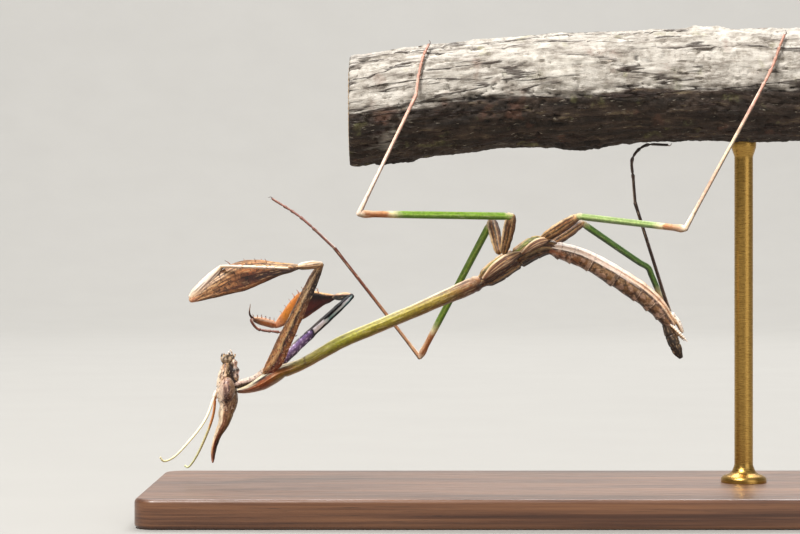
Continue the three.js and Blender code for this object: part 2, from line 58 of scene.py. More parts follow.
class Line:
    """The centripetal Catmull-Rom curve that a part of the body follows, by share of its length."""

    SAMPLES = 60  # between two knots

    def __init__(self, knots, across=(0, 1, 0)):
        knots = np.array([(p[0], 0, p[1]) if len(p) == 2 else p for p in knots], float)
        self.across = np.array(across, float)
        padded = np.vstack([2 * knots[0] - knots[1], knots, 2 * knots[-1] - knots[-2]])
        spots = [self.span(*padded[i : i + 4]) for i in range(len(knots) - 1)]
        self.points = np.vstack([*spots, knots[-1:]])
        steps = np.linalg.norm(np.diff(self.points, axis=0), axis=1)
        self.run = np.concatenate([[0], np.cumsum(steps)])
        self.length = self.run[-1]

    def span(self, p0, p1, p2, p3):
        d0, d1, d2 = (math.sqrt(np.linalg.norm(b - a)) for a, b in ((p0, p1), (p1, p2), (p2, p3)))
        t1 = ((p1 - p0) / d0 - (p2 - p0) / (d0 + d1) + (p2 - p1) / d1) * d1
        t2 = ((p2 - p1) / d1 - (p3 - p1) / (d1 + d2) + (p3 - p2) / d2) * d1
        return hermite(p1, p2, t1, t2, np.arange(self.SAMPLES)[:, None] / self.SAMPLES)

    def at(self, t):
        run = np.asarray(t) * self.length
        return np.stack([np.interp(run, self.run, self.points[:, k]) for k in range(3)], -1)

    def frame(self, t):
        """Directions along, to the side and up at each place."""
        t = np.asarray(t, float)
        step = 0.004
        along = unit(self.at(np.minimum(t + step, 1)) - self.at(np.maximum(t - step, 0)))
        side = unit(self.across - (along @ self.across)[:, None] * along)
        return along, side, np.cross(side, along)


def rounded(profile, t):
    """Half width and half height at each place, smooth between the profile's stations."""
    table = np.array(profile, float)
    x = table[:, 0]
    gap = np.diff(x)
    i = np.clip(np.searchsorted(x, t, side="right") - 1, 0, len(x) - 2)
    sizes = []
    for y in table[:, 1:].T:
        slope = np.diff(y) / gap
        grade = np.concatenate([slope[:1], np.zeros(len(x) - 2), slope[-1:]])
        both = slope[:-1] * slope[1:]
        rising = both > 0
        grade[1:-1][rising] = 2 * both[rising] / (slope[:-1] + slope[1:])[rising]
        sizes.append(hermite(y[i], y[i + 1], grade[i] * gap[i], grade[i + 1] * gap[i], (t - x[i]) / gap[i]))
    return sizes


def heading(azimuth, elevation):
    a, e = math.radians(azimuth), math.radians(elevation)
    return np.array([math.cos(e) * math.cos(a), math.cos(e) * math.sin(a), math.sin(e)])


def across_blade(direction, roll=0):
    """The flat direction of a blade, turned by some degrees about the way it points."""
    flat = unit(np.cross(direction, UP))
    a = math.radians(roll)
    return flat * math.cos(a) + np.cross(direction, flat) * math.sin(a)


def bump(x, at, width):
    return np.exp(-(((x - at) / width) ** 2))


def ridge(turn, at, width):
    """A smooth rib round a part at an angle in degrees."""
    return bump((np.degrees(turn) - at + 180) % 360 - 180, 0, width)


def twin(turn, at, width):
    """The same rib on the right and the left side of the body."""
    return ridge(turn, at, width) + ridge(turn, 540 - at, width)


def fade(t, start, end):
    """Nothing at both ends of a part and 1 between, with a ramp of its own length at each end."""
    return np.clip(t / start, 0, 1) * np.clip((1 - t) / end, 0, 1)


def wobble(x, y, z, scale, seed):
    """A smooth uneven surface between about -1 and 1, of a few waves in random directions."""
    waves = 9
    rng = np.random.default_rng(seed)
    total = 0
    for _ in range(waves):
        turn = unit(rng.normal(size=3)) / scale * rng.uniform(0.7, 1.6)
        total = total + np.sin(turn[0] * x + turn[1] * y + turn[2] * z + rng.uniform(0, 6.3))
    return total / math.sqrt(waves)


def uneven(t, turn, run, scale, seed, wide=1, high=1):
    """Uneven skin round a part that is run units long."""
    return wobble(np.cos(turn) * wide, np.sin(turn) * high, t * run, scale, seed)


def circle(sides):
    return np.arange(sides) / sides * 2 * math.pi


def tube(line, profile, sides, rings, swell=None, dome=(0.6, 0.6), caps=6):
    """Vertices and faces of a closed body along a line. Its ends are rounded by some rings, the caps, and
    dome says how far they bulge, as a share of the half width or half height there."""
    turn_in = np.arange(caps) / caps * math.pi / 2
    t = np.concatenate([np.zeros(caps), np.linspace(0, 1, rings), np.ones(caps)])
    shrink = np.concatenate([np.sin(turn_in), np.ones(rings), np.sin(turn_in[::-1])])
    wide, high = rounded(profile, t)
    reach = np.minimum(wide, high)
    push = np.zeros(len(t))
    push[:caps] = -np.cos(turn_in) * reach[0] * dome[0]
    push[-caps:] = np.cos(turn_in[::-1]) * reach[-1] * dome[1]
    along, side, up = line.frame(t)
    centre = line.at(t) + along * push[:, None]
    turn = circle(sides)
    extra = 0 if swell is None else swell(t[:, None], turn[None, :])
    spread = (wide[:, None] + extra) * np.cos(turn) * shrink[:, None]
    rise = (high[:, None] + extra) * np.sin(turn) * shrink[:, None]
    return closed(centre[:, None] + side[:, None] * spread[..., None] + up[:, None] * rise[..., None])


def web(ring):
    """Faces between rings of point numbers."""
    after = np.roll(ring, -1, axis=1)
    return [*map(tuple, np.stack([ring[:-1], ring[1:], after[1:], after[:-1]], -1).reshape(-1, 4))]


def fan(ring, point):
    """Faces from one point to a ring of point numbers."""
    return [(a, b, point) for a, b in zip(ring, np.roll(ring, -1))]


def once(rings):
    """Rings of values as one list, with the first and the last ring as one value each."""
    rings = np.asarray(rings)
    return np.concatenate([rings[0, :1], np.concatenate(rings[1:-1]), rings[-1, :1]])


def closed(grid):
    """A body from rings of points, of which the first and the last ring are each one point."""
    points = once(grid)
    rings, sides = grid.shape[:2]
    ring = 1 + np.arange((rings - 2) * sides).reshape(rings - 2, sides)
    last = [(b, a, tip) for a, b, tip in fan(ring[-1], len(points) - 1)]
    return points, web(ring) + fan(ring[0], 0) + last


def ellipsoid(centre, half, sides, rings):
    fall, turn = np.linspace(0, math.pi, rings)[:, None], circle(sides)
    grid = [np.sin(fall) * np.cos(turn), np.sin(fall) * np.sin(turn), np.cos(fall) + 0 * turn]
    points, faces = closed(np.stack(grid, -1))
    return points * half + np.array(centre), faces


def merged(*bodies):
    """Several bodies as the points and faces of one mesh."""
    points, faces, count = [], [], 0
    for spots, corners in bodies:
        points.append(spots)
        faces += [tuple(i + count for i in f) for f in corners]
        count += len(spots)
    return np.vstack(points), faces


def thorn(points, radius, tip=0.03, sides=10, rings=9):
    """A curved spine from its foot to its tip."""
    points = np.array(points, float)
    across = unit(np.cross(points[-1] - points[0], (0.31, 0.83, 0.47)))
    profile = [[0, radius, radius], [0.35, radius * 0.62, radius * 0.62], [1, tip, tip]]
    return tube(Line(points, across), profile, sides, rings, caps=3)


# ---------------------------------------------------------------- meshes


def make_object(name, points, faces, looks):
    mesh = bpy.data.meshes.new(name)
    mesh.from_pydata((np.asarray(points) * MM).tolist(), [], faces)
    mesh.update()
    for look in looks:
        mesh.materials.append(look)
    return linked(name, mesh)


def linked(name, data):
    """A new object of the scene."""
    thing = bpy.data.objects.new(name, data)
    bpy.context.scene.collection.objects.link(thing)
    return thing


def smooth(thing, angle):
    mesh = thing.data
    mesh.polygons.foreach_set("use_smooth", np.ones(len(mesh.polygons), bool))
    mesh.set_sharp_from_angle(angle=math.radians(angle))


def settle(thing, angle, nodes):
    """Shades a piece, hangs it on the root body and hides the solids it stands for."""
    smooth(thing, angle)
    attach(thing, "root")
    if nodes:
        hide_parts(*nodes)


def corner_spots(mesh):
    """The vertex of each face corner and the place of each vertex, in millimetres."""
    spots = np.empty(len(mesh.vertices) * 3)
    mesh.vertices.foreach_get("co", spots)
    corners = np.empty(len(mesh.loops), int)
    mesh.loops.foreach_get("vertex_index", corners)
    return corners, spots.reshape(-1, 3) / MM


def write_lie(mesh, across, depth, run, place):
    """What the materials read: across, depth and run along the part, and the place from 0 to 1."""
    vector = np.stack([across, depth, run], -1).astype(np.float32)
    mesh.attributes.new("lie", "FLOAT_VECTOR", "CORNER").data.foreach_set("vector", vector.ravel())
    layer = mesh.attributes.new("along", "FLOAT", "CORNER")
    layer.data.foreach_set("value", np.asarray(place, np.float32))


LEAN = np.array([-0.3, 0, 1])  # the side of a part that counts as its upper edge
AXIS_SPOTS = 300  # places on a line among which the nearest one is looked up
AT_ONCE = 4000  # points that are looked up at one time


def lie_on(spots, line, profile):
    """How points lie on a part: 1 is its upper edge and -1 the lower one, as seen from the side."""
    t = np.linspace(0, 1, AXIS_SPOTS)
    axis = line.at(t)
    along, side, up = line.frame(t)
    rise = unit(np.stack([-along[:, 2], np.zeros(len(t)), along[:, 0]], -1) + 1e-9)
    rise *= 1 if (rise @ LEAN).mean() > 0 else -1
    away = np.cross(along, rise)
    away *= 1 if away[:, 1].mean() > 0 else -1
    wide, high = rounded(profile, t)
    nearest = np.empty(len(spots), int)
    for i in range(0, len(spots), AT_ONCE):
        gaps = ((spots[i : i + AT_ONCE, None] - axis[None]) ** 2).sum(-1)
        nearest[i : i + AT_ONCE] = gaps.argmin(1)
    offset = spots - axis[nearest]

    def share(way):
        reach = np.hypot(wide * (side * way).sum(-1), high * (up * way).sum(-1))
        return (offset * way[nearest]).sum(-1) / reach[nearest]

    place = t[nearest] + (offset * along[nearest]).sum(-1) / line.length
    return share(rise), share(away), place * line.length, np.clip(place, 0, 1)


def piece(name, body, look, lie, node=None, angle=38):
    """One separate piece of the object. lie is a line with its profile, or a function of points."""
    thing = make_object(name, *body, [look])
    corners, spots = corner_spots(thing.data)
    facts = lie(spots) if callable(lie) else lie_on(spots, *lie)
    write_lie(thing.data, *(np.asarray(f)[corners] for f in facts))
    settle(thing, angle, [node] if node else [])


# ---------------------------------------------------------------- looks

SHADES = {
    "cream": "ecd8b8", "white": "fffaf2", "bone": "d9bd93", "earth": "7a573c", "brown": "5a3a28",
    "umber": "38211a", "dark": "1d110b",
}


def colour(code):
    """A colour as Blender wants it, from a name above or a hex code."""
    code = SHADES.get(code, code)
    parts = [int(code[i : i + 2], 16) / 255 for i in (0, 2, 4)]
    return (*(p / 12.92 if p < 0.04045 else ((p + 0.055) / 1.055) ** 2.4 for p in parts), 1)


class Look:
    """A material of nodes that read how each point lies on its part."""

    def __init__(self, name, radius=1.0, stretch=3.0):
        self.material = bpy.data.materials.new(name)
        self.material.use_nodes = True
        self.tree = self.material.node_tree
        self.tree.nodes.clear()
        self.shader = self.node("ShaderNodeBsdfPrincipled")
        self.node("ShaderNodeOutputMaterial", self.shader.outputs[0])
        self.lie = self.read("lie", "Vector")
        self.along = self.read("along", "Fac")
        self.across, self.depth, self.run = self.node("ShaderNodeSeparateXYZ", self.lie).outputs
        self.grain = self.scaled(radius, 1)
        self.drawn = self.scaled(radius, 1 / stretch)

    def node(self, kind, *values, **settings):
        made = self.tree.nodes.new(kind)
        for key, value in settings.items():
            setattr(made, key, value)
        for place, value in enumerate(values):
            self.give(made.inputs[place], value)
        return made

    def give(self, socket, value):
        if isinstance(value, bpy.types.NodeSocket):
            self.tree.links.new(value, socket)
        elif value is not None:
            socket.default_value = value

    def read(self, name, output):
        return self.node("ShaderNodeAttribute", attribute_name=name).outputs[output]

    def scaled(self, round_it, lengthwise):
        factors = (round_it, round_it, lengthwise)
        return self.node("ShaderNodeVectorMath", self.lie, factors, operation="MULTIPLY").outputs[0]

    def math(self, operation, *values):
        return self.node("ShaderNodeMath", *values, operation=operation).outputs[0]

    def noise(self, vector, scale, detail, rough=0.55):
        return self.node("ShaderNodeTexNoise", vector, None, scale, detail, rough).outputs[0]

    def span(self, value, low, high, to_low=0.0, to_high=1.0, kind="SMOOTHSTEP"):
        limits = (value, low, high, to_low, to_high)
        return self.node("ShaderNodeMapRange", *limits, interpolation_type=kind).outputs[0]

    def ragged(self, value, noise, amount):
        """A value that a noise moves by up to half the amount each way."""
        return self.math("MULTIPLY_ADD", self.math("SUBTRACT", noise, 0.5), amount, value)

    def ramp(self, value, stops):
        made = self.node("ShaderNodeValToRGB", value)
        line = made.color_ramp.elements
        while len(line) < len(stops):
            line.new(1)
        for mark, (place, shade) in zip(line, sorted(stops)):
            mark.position = place
            mark.color = colour(shade) if isinstance(shade, str) else (shade, shade, shade, 1)
        return made.outputs[0]

    def mix(self, factor, first, second, blend="MIX"):
        made = self.node("ShaderNodeMix", data_type="RGBA", blend_type=blend)
        for place, value in ((0, factor), (6, first), (7, second)):
            self.give(made.inputs[place], colour(value) if isinstance(value, str) else value)
        return made.outputs[2]

    def stain(self, tone, value, low, high, strength, code, blend="MIX"):
        """Lays a colour over a tone where a value is past low, in full strength from high on."""
        return self.mix(self.span(value, low, high, 0.0, strength), tone, code, blend)

    def finish(self, tone, rough, height=None, depth=0.02, coat=0.0):
        self.give(self.shader.inputs["Base Color"], tone)
        self.give(self.shader.inputs["Roughness"], rough)
        self.shader.inputs["Coat Weight"].default_value = coat
        self.shader.inputs["Coat Roughness"].default_value = 0.2
        if height is not None:
            relief = self.node("ShaderNodeBump")
            relief.inputs["Distance"].default_value = depth * MM
            relief.inputs["Strength"].default_value = 1.0
            self.give(relief.inputs["Height"], height)
            self.give(self.shader.inputs["Normal"], relief.outputs[0])
        return self.material


def rows_of(table):
    """The rows of a colour table: each is a place and a colon, then places across it with colours."""
    rows = []
    words = iter(table.split())
    for word in words:
        if word.endswith(":"):
            rows.append((float(word[:-1]), []))
        else:
            rows[-1][1].append((float(word), next(words)))
    return rows


def cuticle(
    name, table, radius, ragged=0.25, wander=0.03, mottle=0.35, streak=0.3, fibres=(0.35, 0.35),
    blotch=0.3, specks=(), bands=(), rough=0.5, relief=0.05, stretch=3.0, coat=0.05, tint="e1c8b5",
    side_specks=(), speck_end=None, shine=0.5,
):
    """Insect skin. A row of the table has the colours from -1, the lower edge of a part, to 1, at a place
    along it; besides a part's markings, many rows paint shade towards the lower edge and light towards the
    upper one. Bands are rings of colour, and specks are a size, a limit, a colour and a strength."""
    look = Look(name, radius, stretch)
    fine = look.noise(look.drawn, 1.6, 4)
    wave = look.noise(look.grain, 0.9, 2)
    level = look.span(look.ragged(look.across, fine, ragged * 2), -1.0, 1.0, kind="LINEAR")
    place = look.ragged(look.along, wave, wander * 2)
    tone, before = None, 0
    for at, stops in rows_of(table):
        shade = look.ramp(level, [((v + 1) / 2, code) for v, code in stops])
        tone = shade if tone is None else look.mix(look.span(place, before, at), tone, shade)
        before = at
    for at, width, code, strength, *top in bands:
        gap = look.math("ABSOLUTE", look.math("SUBTRACT", place, at))
        share = look.span(gap, width, width * 0.45, 0.0, strength)
        if top:
            share = look.math("MULTIPLY", share, look.span(look.across, top[0] + 0.25, top[0]))
        tone = look.mix(share, tone, code)
    lines = look.noise(look.drawn, 7.0, 3)
    tone = look.stain(tone, lines, 0.3, 0.7, streak, "6b4a34", "OVERLAY")
    cloud = look.noise(look.grain, 2.6, 5, 0.65)
    shade = look.ramp(cloud, [(0.32, 0.5 - mottle / 2), (0.68, 0.5 + mottle / 2)])
    tone = look.mix(1.0, tone, shade, "OVERLAY")
    hairs = look.noise(look.drawn, 4.2, 3, 0.6)
    tone = look.stain(tone, hairs, 0.56, 0.66, fibres[0], "3a2216", "MULTIPLY")
    tone = look.stain(tone, hairs, 0.44, 0.34, fibres[1], "f2e2c4")
    patches = look.noise(look.grain, 1.3, 4, 0.6)
    tone = look.stain(tone, patches, 0.54, 0.64, blotch, "4a2c1c", "MULTIPLY")
    for scale, limit, code, strength in side_specks:
        share = look.span(look.noise(look.grain, scale, 3), limit, limit + 0.09, 0.0, strength)
        tone = look.mix(look.math("MULTIPLY", share, look.span(look.across, 0.15, 0.0)), tone, code)
    for scale, limit, code, strength in specks:
        share = look.span(look.noise(look.grain, scale, 1.5), limit - 0.01, limit + 0.07, 0.0, strength)
        if speck_end is not None:
            share = look.math("MULTIPLY", share, look.span(look.along, speck_end, speck_end - 0.03))
        tone = look.mix(share, tone, code)
    tone = look.mix(1.0, tone, tint, "MULTIPLY")
    look.shader.inputs["Specular IOR Level"].default_value = shine
    grain = look.noise(look.grain, 9.0, 3)
    height = look.math("ADD", grain, look.math("MULTIPLY", lines, 0.6))
    return look.finish(tone, look.span(grain, 0.3, 0.7, rough - 0.08, rough + 0.1), height, relief, coat)


# ---------------------------------------------------------------- colours of the insect

# Most tables below run from painted shade on a part's lower edge to painted light on its upper edge, over the
# insect's own markings.
face_look = cuticle(
    "face",
    """
    0:    -1 umber -.3 bone .1 earth .5 cream 1 white
    .22:  -1 brown -.6 dark -.35 a58a6c -.1 ece0d2 .1 94786a .3 f6ece2 .55 b8a090 .7 fff6ee 1 white
    .5:   -1 7d6c54 -.6 a8947c -.2 d0c0ae .15 947a70 .35 ece0d6 .6 fff8f2 1 white
    .8:   -1 7a6648 -.6 a48c70 -.2 c0a894 .1 a08478 .35 dccabe .55 fff6ee 1 white
    1:    -1 8c744c -.5 a88c74 0 a88474 .3 d2baa8 .5 white 1 white
    """,
    radius=1.3, ragged=0.5, mottle=0.65, streak=0.4, blotch=0.4, fibres=(0.85, 0.6), stretch=3.5,
    specks=[(2.6, 0.59, "2c1a18", 0.85), (3.6, 0.6, "white", 0.7), (2.2, 0.62, "705068", 0.5)],
    tint="e6d4c2", shine=0.3,
)
# Towards its tip the cone's lower side turns dark: partly a dark stripe of its own, partly painted shade.
cone_look = cuticle(
    "cone",
    """
    0:    -1 7d6848 -.5 a88e70 -.1 b4927e .2 ccb09c .45 white 1 white
    .22:  -1 6a5a3a -.6 8e7254 -.25 7e5240 .05 b4927e .25 a87c68 .42 white 1 white
    .42:  -1 4a3c24 -.6 6a4c30 -.3 4a1c12 0 a0684c .2 b4826a .34 702e1a .48 white 1 fff4e6
    .65:  -1 2c1a0e -.4 30140c 0 6a2814 .25 8a3c20 .42 b8683c .56 fff0dc 1 white
    .82:  -1 1d0f0a -.3 3a160c .1 7a3820 .4 b06a48 .62 f0d8be 1 f4dcc8
    .92:  -1 2c160e -.2 5c2a1c .4 a05c44 1 c88c74
    1:    -1 5d4434 0 b8807a 1 dcb0a8
    """,
    radius=0.8, ragged=0.2, mottle=0.4, streak=0.4, blotch=0.25, fibres=(0.6, 0.3), stretch=7,
    specks=[(3.6, 0.64, "43201a", 0.6), (4.8, 0.66, "f2dcc8", 0.5)], tint="e6d4bc", shine=0.3,
)
lip_look = cuticle(
    "lip",
    """
    0:    -1 umber 0 bone 1 white
    .45:  -1 c9a890 -.3 e6d4cc .3 umber 1 dark
    .6:   -1 umber 0 dark 1 dark
    .75:  -1 c9b0a8 -.2 e6d8d4 .4 brown 1 dark
    1:    -1 earth 0 bone 1 umber
    """,
    radius=0.5, mottle=0.7, specks=[(3.4, 0.58, "dark", 0.95), (5.0, 0.64, "white", 0.6)],
    tint="eee2d8",
)
throat_look = cuticle(
    "throat",
    """
    0:  -1 dark 1 umber
    1:  -1 dark 1 umber
    """,
    radius=0.5, fibres=(0.3, 0.05),
)
neck_look = cuticle(
    "neck",
    """
    0:   -1 dark -.4 umber 0 d9c4bc 1 f0e6e0
    .5:  -1 dark -.5 umber -.1 dccbc4 1 efe4dc
    1:   -1 umber -.4 bone .2 white 1 c9b088
    """,
    radius=0.8, blotch=0.5, mottle=0.6, specks=[(3.4, 0.6, "umber", 0.95), (4.6, 0.66, "white", 0.6)],
    tint="eee0d6",
)
# On the shaft, the paler green streak a little above the middle (about .25 to .4 across) is a painted
# highlight.
chest_look = cuticle(
    "chest",
    """
    0:    -1 c9a18f -.3 86584a .1 4a271b .35 white 1 cream
    .1:   -1 c8a896 -.8 8a6058 -.45 94502e -.1 c06828 .2 a05026 .4 2c140c .54 2c140c .62 fffdf8
          .8 fffdf8 1 e4d2b8
    .19:  -1 b39a72 -.8 6a582c -.4 96742e .1 b06c2c .38 8a5024 .5 2c1a10 .6 white .8 white 1 cream
    .27:  -1 c79f76 -.75 7d6a30 -.2 96862c .3 a39a35 .6 c9c069 .85 ece6c0 1 white
    .42:  -1 a8905c -.85 7c742a -.5 8e8c22 .05 a6a824 .25 c4c854 .42 a6a624 .8 949020 .93 dcdc98
          1 eceac4
    .62:  -1 a88660 -.8 80702a -.3 948824 .2 a49c28 .4 bab44a .75 98902a .9 dcd49c 1 f0ead0
    .82:  -1 8c6c40 -.7 7e6228 -.2 9c882c .2 a89432 .4 c0ac54 .6 948030 .78 8f6c34 .9 f0e2cc 1 f8f0e4
    .95:  -1 6a4438 -.5 5a3824 0 8a5a34 .4 9a6a40 .75 6a4630 .92 e8d0c0 1 f0dccf
    1:    -1 4a3028 -.3 3c2418 .2 7a5034 .65 a87a54 1 e8d0c0
    """,
    radius=1.1, ragged=0.14, mottle=0.45, blotch=0.25, fibres=(0.45, 0.3), stretch=8,
    specks=[(3.2, 0.66, "4e3420", 0.6), (5.0, 0.68, "f0e6c8", 0.4)],
    bands=[(0.275, 0.006, "5b3a1e", 0.6)], tint="f2ecd6",
)
thorax_look = cuticle(
    "thorax",
    """
    0:    -1 umber -.7 7a5238 -.5 dark -.3 8a6240 -.1 umber .15 cream .3 umber .55 a87c50 .75 umber
          .9 cream 1 white
    .3:   -1 dark -.75 bone -.6 umber -.25 6b4029 -.1 bone .05 dark .3 7c5436 .4 cream .5 umber
          .62 8fa83a .85 a9c04a .95 cream 1 white
    .48:  -1 dark -.75 bone -.6 umber -.25 6b4029 -.1 cream .05 dark .3 8a5f3c .45 cream .58 umber
          .8 7a5a38 1 cream
    .56:  -1 dark -.6 umber -.2 9a7048 0 dark .35 bone .5 7a9a34 .7 9ab848 .85 earth 1 cream
    .72:  -1 dark -.7 7c583c -.5 dark -.15 cream 0 dark .3 8a6040 .48 cream .6 7a9a34 .85 9ab848
          1 cream
    1:    -1 dark -.7 7c583c -.5 umber -.15 cream 0 umber .3 8a6040 .5 cream .62 brown .85 8a6844
          1 cream
    """,
    radius=1.4, ragged=0.24, mottle=0.6, blotch=0.35, fibres=(0.7, 0.35), stretch=6,
    specks=[(3.0, 0.62, "dark", 0.7), (4.5, 0.66, "white", 0.5)], tint="c6ae8c",
)
SEGMENTS = [0, 0.08, 0.17, 0.31, 0.51, 0.7, 0.82, 0.92, 1]
BELLY = ".2 fffaf6 .42 fff6f2 .52 f2e0d8 .62 fffaf6 .94 fffdfb 1 ecd6c6"
SEGMENT_RINGS = [
    (2, -0.022, 0.016, "b8a494", 0.45, -0.05), (3, -0.005, 0.004, "f4e8dc", 0.6, -0.05),
    (3, 0.006, 0.007, "1d120b", 0.7, -0.05), (1, 0, 0.004, "8a6a58", 0.4),
]
abdomen_look = cuticle(
    "abdomen",
    f"""
    0:    -1 umber -.75 6a442c -.45 8c5434 -.2 74442a 0 54301f .12 umber {BELLY}
    .2:   -1 2e1c12 -.85 64462a -.5 845a36 -.2 74522f 0 543822 .12 33201a {BELLY}
    .4:   -1 2e1c12 -.85 5c4428 -.45 84643c -.15 a08260 0 7c6040 .12 33201a {BELLY}
    .75:  -1 1d110b -.8 4c3a22 -.3 7f5c3c 0 8f7048 .12 4a2c1c .26 3a2418 .4 fff0e0 .52 e8c4a8
          .62 9a6a48 .74 fff0e0 1 e2bc98
    1:    -1 dark -.5 4c3a24 -.1 8a6848 .05 umber .2 5a3a28 .4 cream .55 b98a64 .75 cream 1 efdccf
    """,
    radius=1.6, ragged=0.07, wander=0.006, mottle=0.5, streak=0.1, blotch=0.15, fibres=(0.25, 0.2),
    specks=[(2.6, 0.65, "4a3024", 0.75), (1.2, 0.56, "d8bcae", 0.35)],
    side_specks=[(1.5, 0.52, "2c1a10", 0.75), (1.9, 0.58, "dcc0a0", 0.5)],
    bands=[(b + shift, *mark) for first, shift, *mark in SEGMENT_RINGS for b in SEGMENTS[first:-1]],
    tint="f6e6d8",
)
# The dark band below the coxa's pale front face is painted shade on its inner face.
near_coxa_look = cuticle(
    "near_coxa",
    """
    0:    -1 8a3a20 -.5 7a3018 -.2 4a1c10 0 a87850 .3 cream .6 d8ac78 .85 8a5c34 1 c09060
    .36:  -1 9a6038 -.6 b08050 -.35 6a2c18 -.1 dark .1 cream .4 d8b084 .7 a87848 1 6a4428
    .59:  -1 7a4a2c -.5 a07048 -.25 dark 0 5a3420 .15 f4e0c0 .5 c89c6c .8 umber 1 brown
    .77:  -1 dark -.4 2c150c -.15 6a5440 .1 white .4 a8a088 .7 5a3a28 1 brown
    .9:   -1 dark -.2 umber 0 b49c7a .3 white .6 6f5638 1 brown
    1:    -1 umber 0 b99a74 1 cream
    """,
    radius=1.3, ragged=0.36, mottle=0.7, blotch=0.3, fibres=(0.55, 0.5), stretch=4,
    specks=[(2.2, 0.6, "3c2014", 0.9), (3.4, 0.62, "white", 0.6)], tint="e6caa8",
)
far_coxa_look = cuticle(
    "far_coxa",
    """
    0:     -1 2a1a1c -.5 54405c .2 8f7aa8 .6 white 1 bone
    .36:   -1 dark -.7 5c4478 -.2 9a80b8 .3 a88cc8 .6 5c4478 .8 dark
    .45:   -1 dark -.6 46345c .2 8f78b0 .6 3a2a4c .8 dark
    .47:   -1 dark 0 140c16 1 dark
    .49:   -1 dark -.6 dark -.45 white .4 ffffff .6 dark
    .6:    -1 dark -.55 dark -.4 white .35 ffffff .5 dark
    .635:  -1 0b0b10 -.7 10131c -.5 e8f4f0 0 e8f4f0 .15 0b0b10
    .68:   -1 0b0b10 -.6 10282c -.45 7ab0ac -.2 a8d0c8 0 0b0b10
    .82:   -1 0b0b10 -.6 0c2a30 -.45 dfeee8 -.1 ecf4ee .05 0b0b10
    .92:   -1 0b0b10 -.6 2c7078 -.4 dff4ea .1 ffffff .3 10131c
    .97:   -1 0b0b10 -.5 153c44 0 bfe0d8 .3 10131c
    1:     -1 0b0b10 .3 10131c 1 umber
    """,
    radius=0.9, ragged=0.2, wander=0.012, mottle=0.3, blotch=0.1, fibres=(0.2, 0.05),
    specks=[(2.6, 0.58, "e8d8f8", 0.6), (4.4, 0.62, "2c1a3c", 0.6)], speck_end=0.47, tint="f2eaf4",
    rough=0.4, relief=0.09, shine=0.15, coat=0.0,
)
near_ring_look = cuticle(
    "near_ring",
    """
    0:   -1 umber -.6 brown -.35 cream 1 white
    .4:  -1 umber -.7 bone -.45 8a6a4c -.2 cream .1 a8886a .3 white .6 cream .8 9a7a5c 1 white
    1:   -1 umber -.6 dark -.3 8a5a38 .1 cream 1 white
    """,
    radius=0.7, ragged=0.15, streak=0.5, fibres=(0.6, 0.4), stretch=6, tint="f0e0d2",
)
far_ring_look = cuticle(
    "far_ring",
    """
    0:   -1 0b0b10 0 0d1a1c .4 153c3e .6 8a6a50 1 cream
    .5:  -1 0b0b10 .2 0d1214 .5 7a5a44 .7 white 1 cream
    1:   -1 1d0f0c .3 dark .6 umber .8 a87c60 1 cream
    """,
    radius=0.6, blotch=0.1,
)
near_blade_look = cuticle(
    "near_blade",
    """
    0:    -1 dark -.2 brown .1 cream .45 white .7 brown 1 white
    .2:   -1 brown -.7 2c1710 -.1 42231a .25 a37a56 .42 cream .62 white .74 5a3a24 .86 white 1 cream
    .45:  -1 brown -.85 b0805a -.55 6a3820 -.2 4a2415 .05 8d5a3a .25 c09068 .4 d8b08a .52 52331f
          .6 cream .7 umber .82 e8c8a0 .9 7a5a3e 1 9a7a58
    .7:   -1 umber -.8 c09468 -.6 6a4028 -.35 d0aa80 -.15 7c5434 .05 d8b890 .2 5a3b26 .32 cream
          .44 6a4a30 .56 white .68 5a3b26 .8 white .88 7a5838 .94 cream 1 b89878
    .9:   -1 brown -.6 cream -.35 8b6a48 -.1 cream .15 8b6a48 .35 white .55 6d4a32 .72 white .86 9a7858
          1 cream
    1:    -1 caa690 0 e8cdbf 1 f2e0d4
    """,
    radius=1.7, ragged=0.1, streak=0.5, mottle=0.7, blotch=0.6, fibres=(0.75, 0.5), stretch=9,
    specks=[(1.8, 0.6, "331b11", 0.75)],
    bands=[(at, 0.005, "6a4a30", 0.55) for at in (0.64, 0.69, 0.74, 0.79, 0.84, 0.89)], tint="eac8a4",
)
# The near-black maroon from the ring to about .42 along is painted shadow on the far blade.
far_blade_look = cuticle(
    "far_blade",
    """
    0:    -1 34110f .3 160807 .7 dark .9 8a6450 1 cream
    .2:   -1 6a3c36 -.85 38100e -.2 38100e .3 140505 .7 0a0303 .84 dark .94 cream
    .42:  -1 7a4c44 -.85 441612 -.2 401410 .3 200808 .7 140605 .84 umber .94 cream
    .55:  -1 earth -.3 6b3a24 .3 9a5f2c .7 bf7a38 1 d89a5c
    .75:  -1 earth -.2 9c6a2e .4 c98a34 .8 d89448 1 e2a86c
    1:    -1 b27a58 .2 dca68c 1 f0cdb8
    """,
    radius=1.0, ragged=0.2, mottle=0.2, streak=0.0, fibres=(0.5, 0.0),
    specks=[(3.4, 0.64, "umber", 0.5)], tint="ecd4bc", shine=0.2, coat=0.0,
)
near_shank_look = cuticle(
    "near_shank",
    """
    0:   -1 8a6248 -.4 cream 1 white
    .4:  -1 umber -.8 white -.35 8d6a4c -.15 white 1 fffaf0
    .8:  -1 umber -.7 white -.3 74543a 0 white 1 fffaf0
    1:   -1 brown 0 cream 1 white
    """,
    radius=0.7, ragged=0.08, mottle=0.2, blotch=0.1, fibres=(0.6, 0.5), stretch=10, tint="f0e0d4",
)
far_shank_look = cuticle(
    "far_shank",
    """
    0:   -1 a5744c .2 d99a5a .5 white 1 f0c9a8
    .6:  -1 8f5f34 0 d8953f .4 white 1 f2cfb8
    1:   -1 umber .3 8a5a38 1 bone
    """,
    radius=0.5,
)
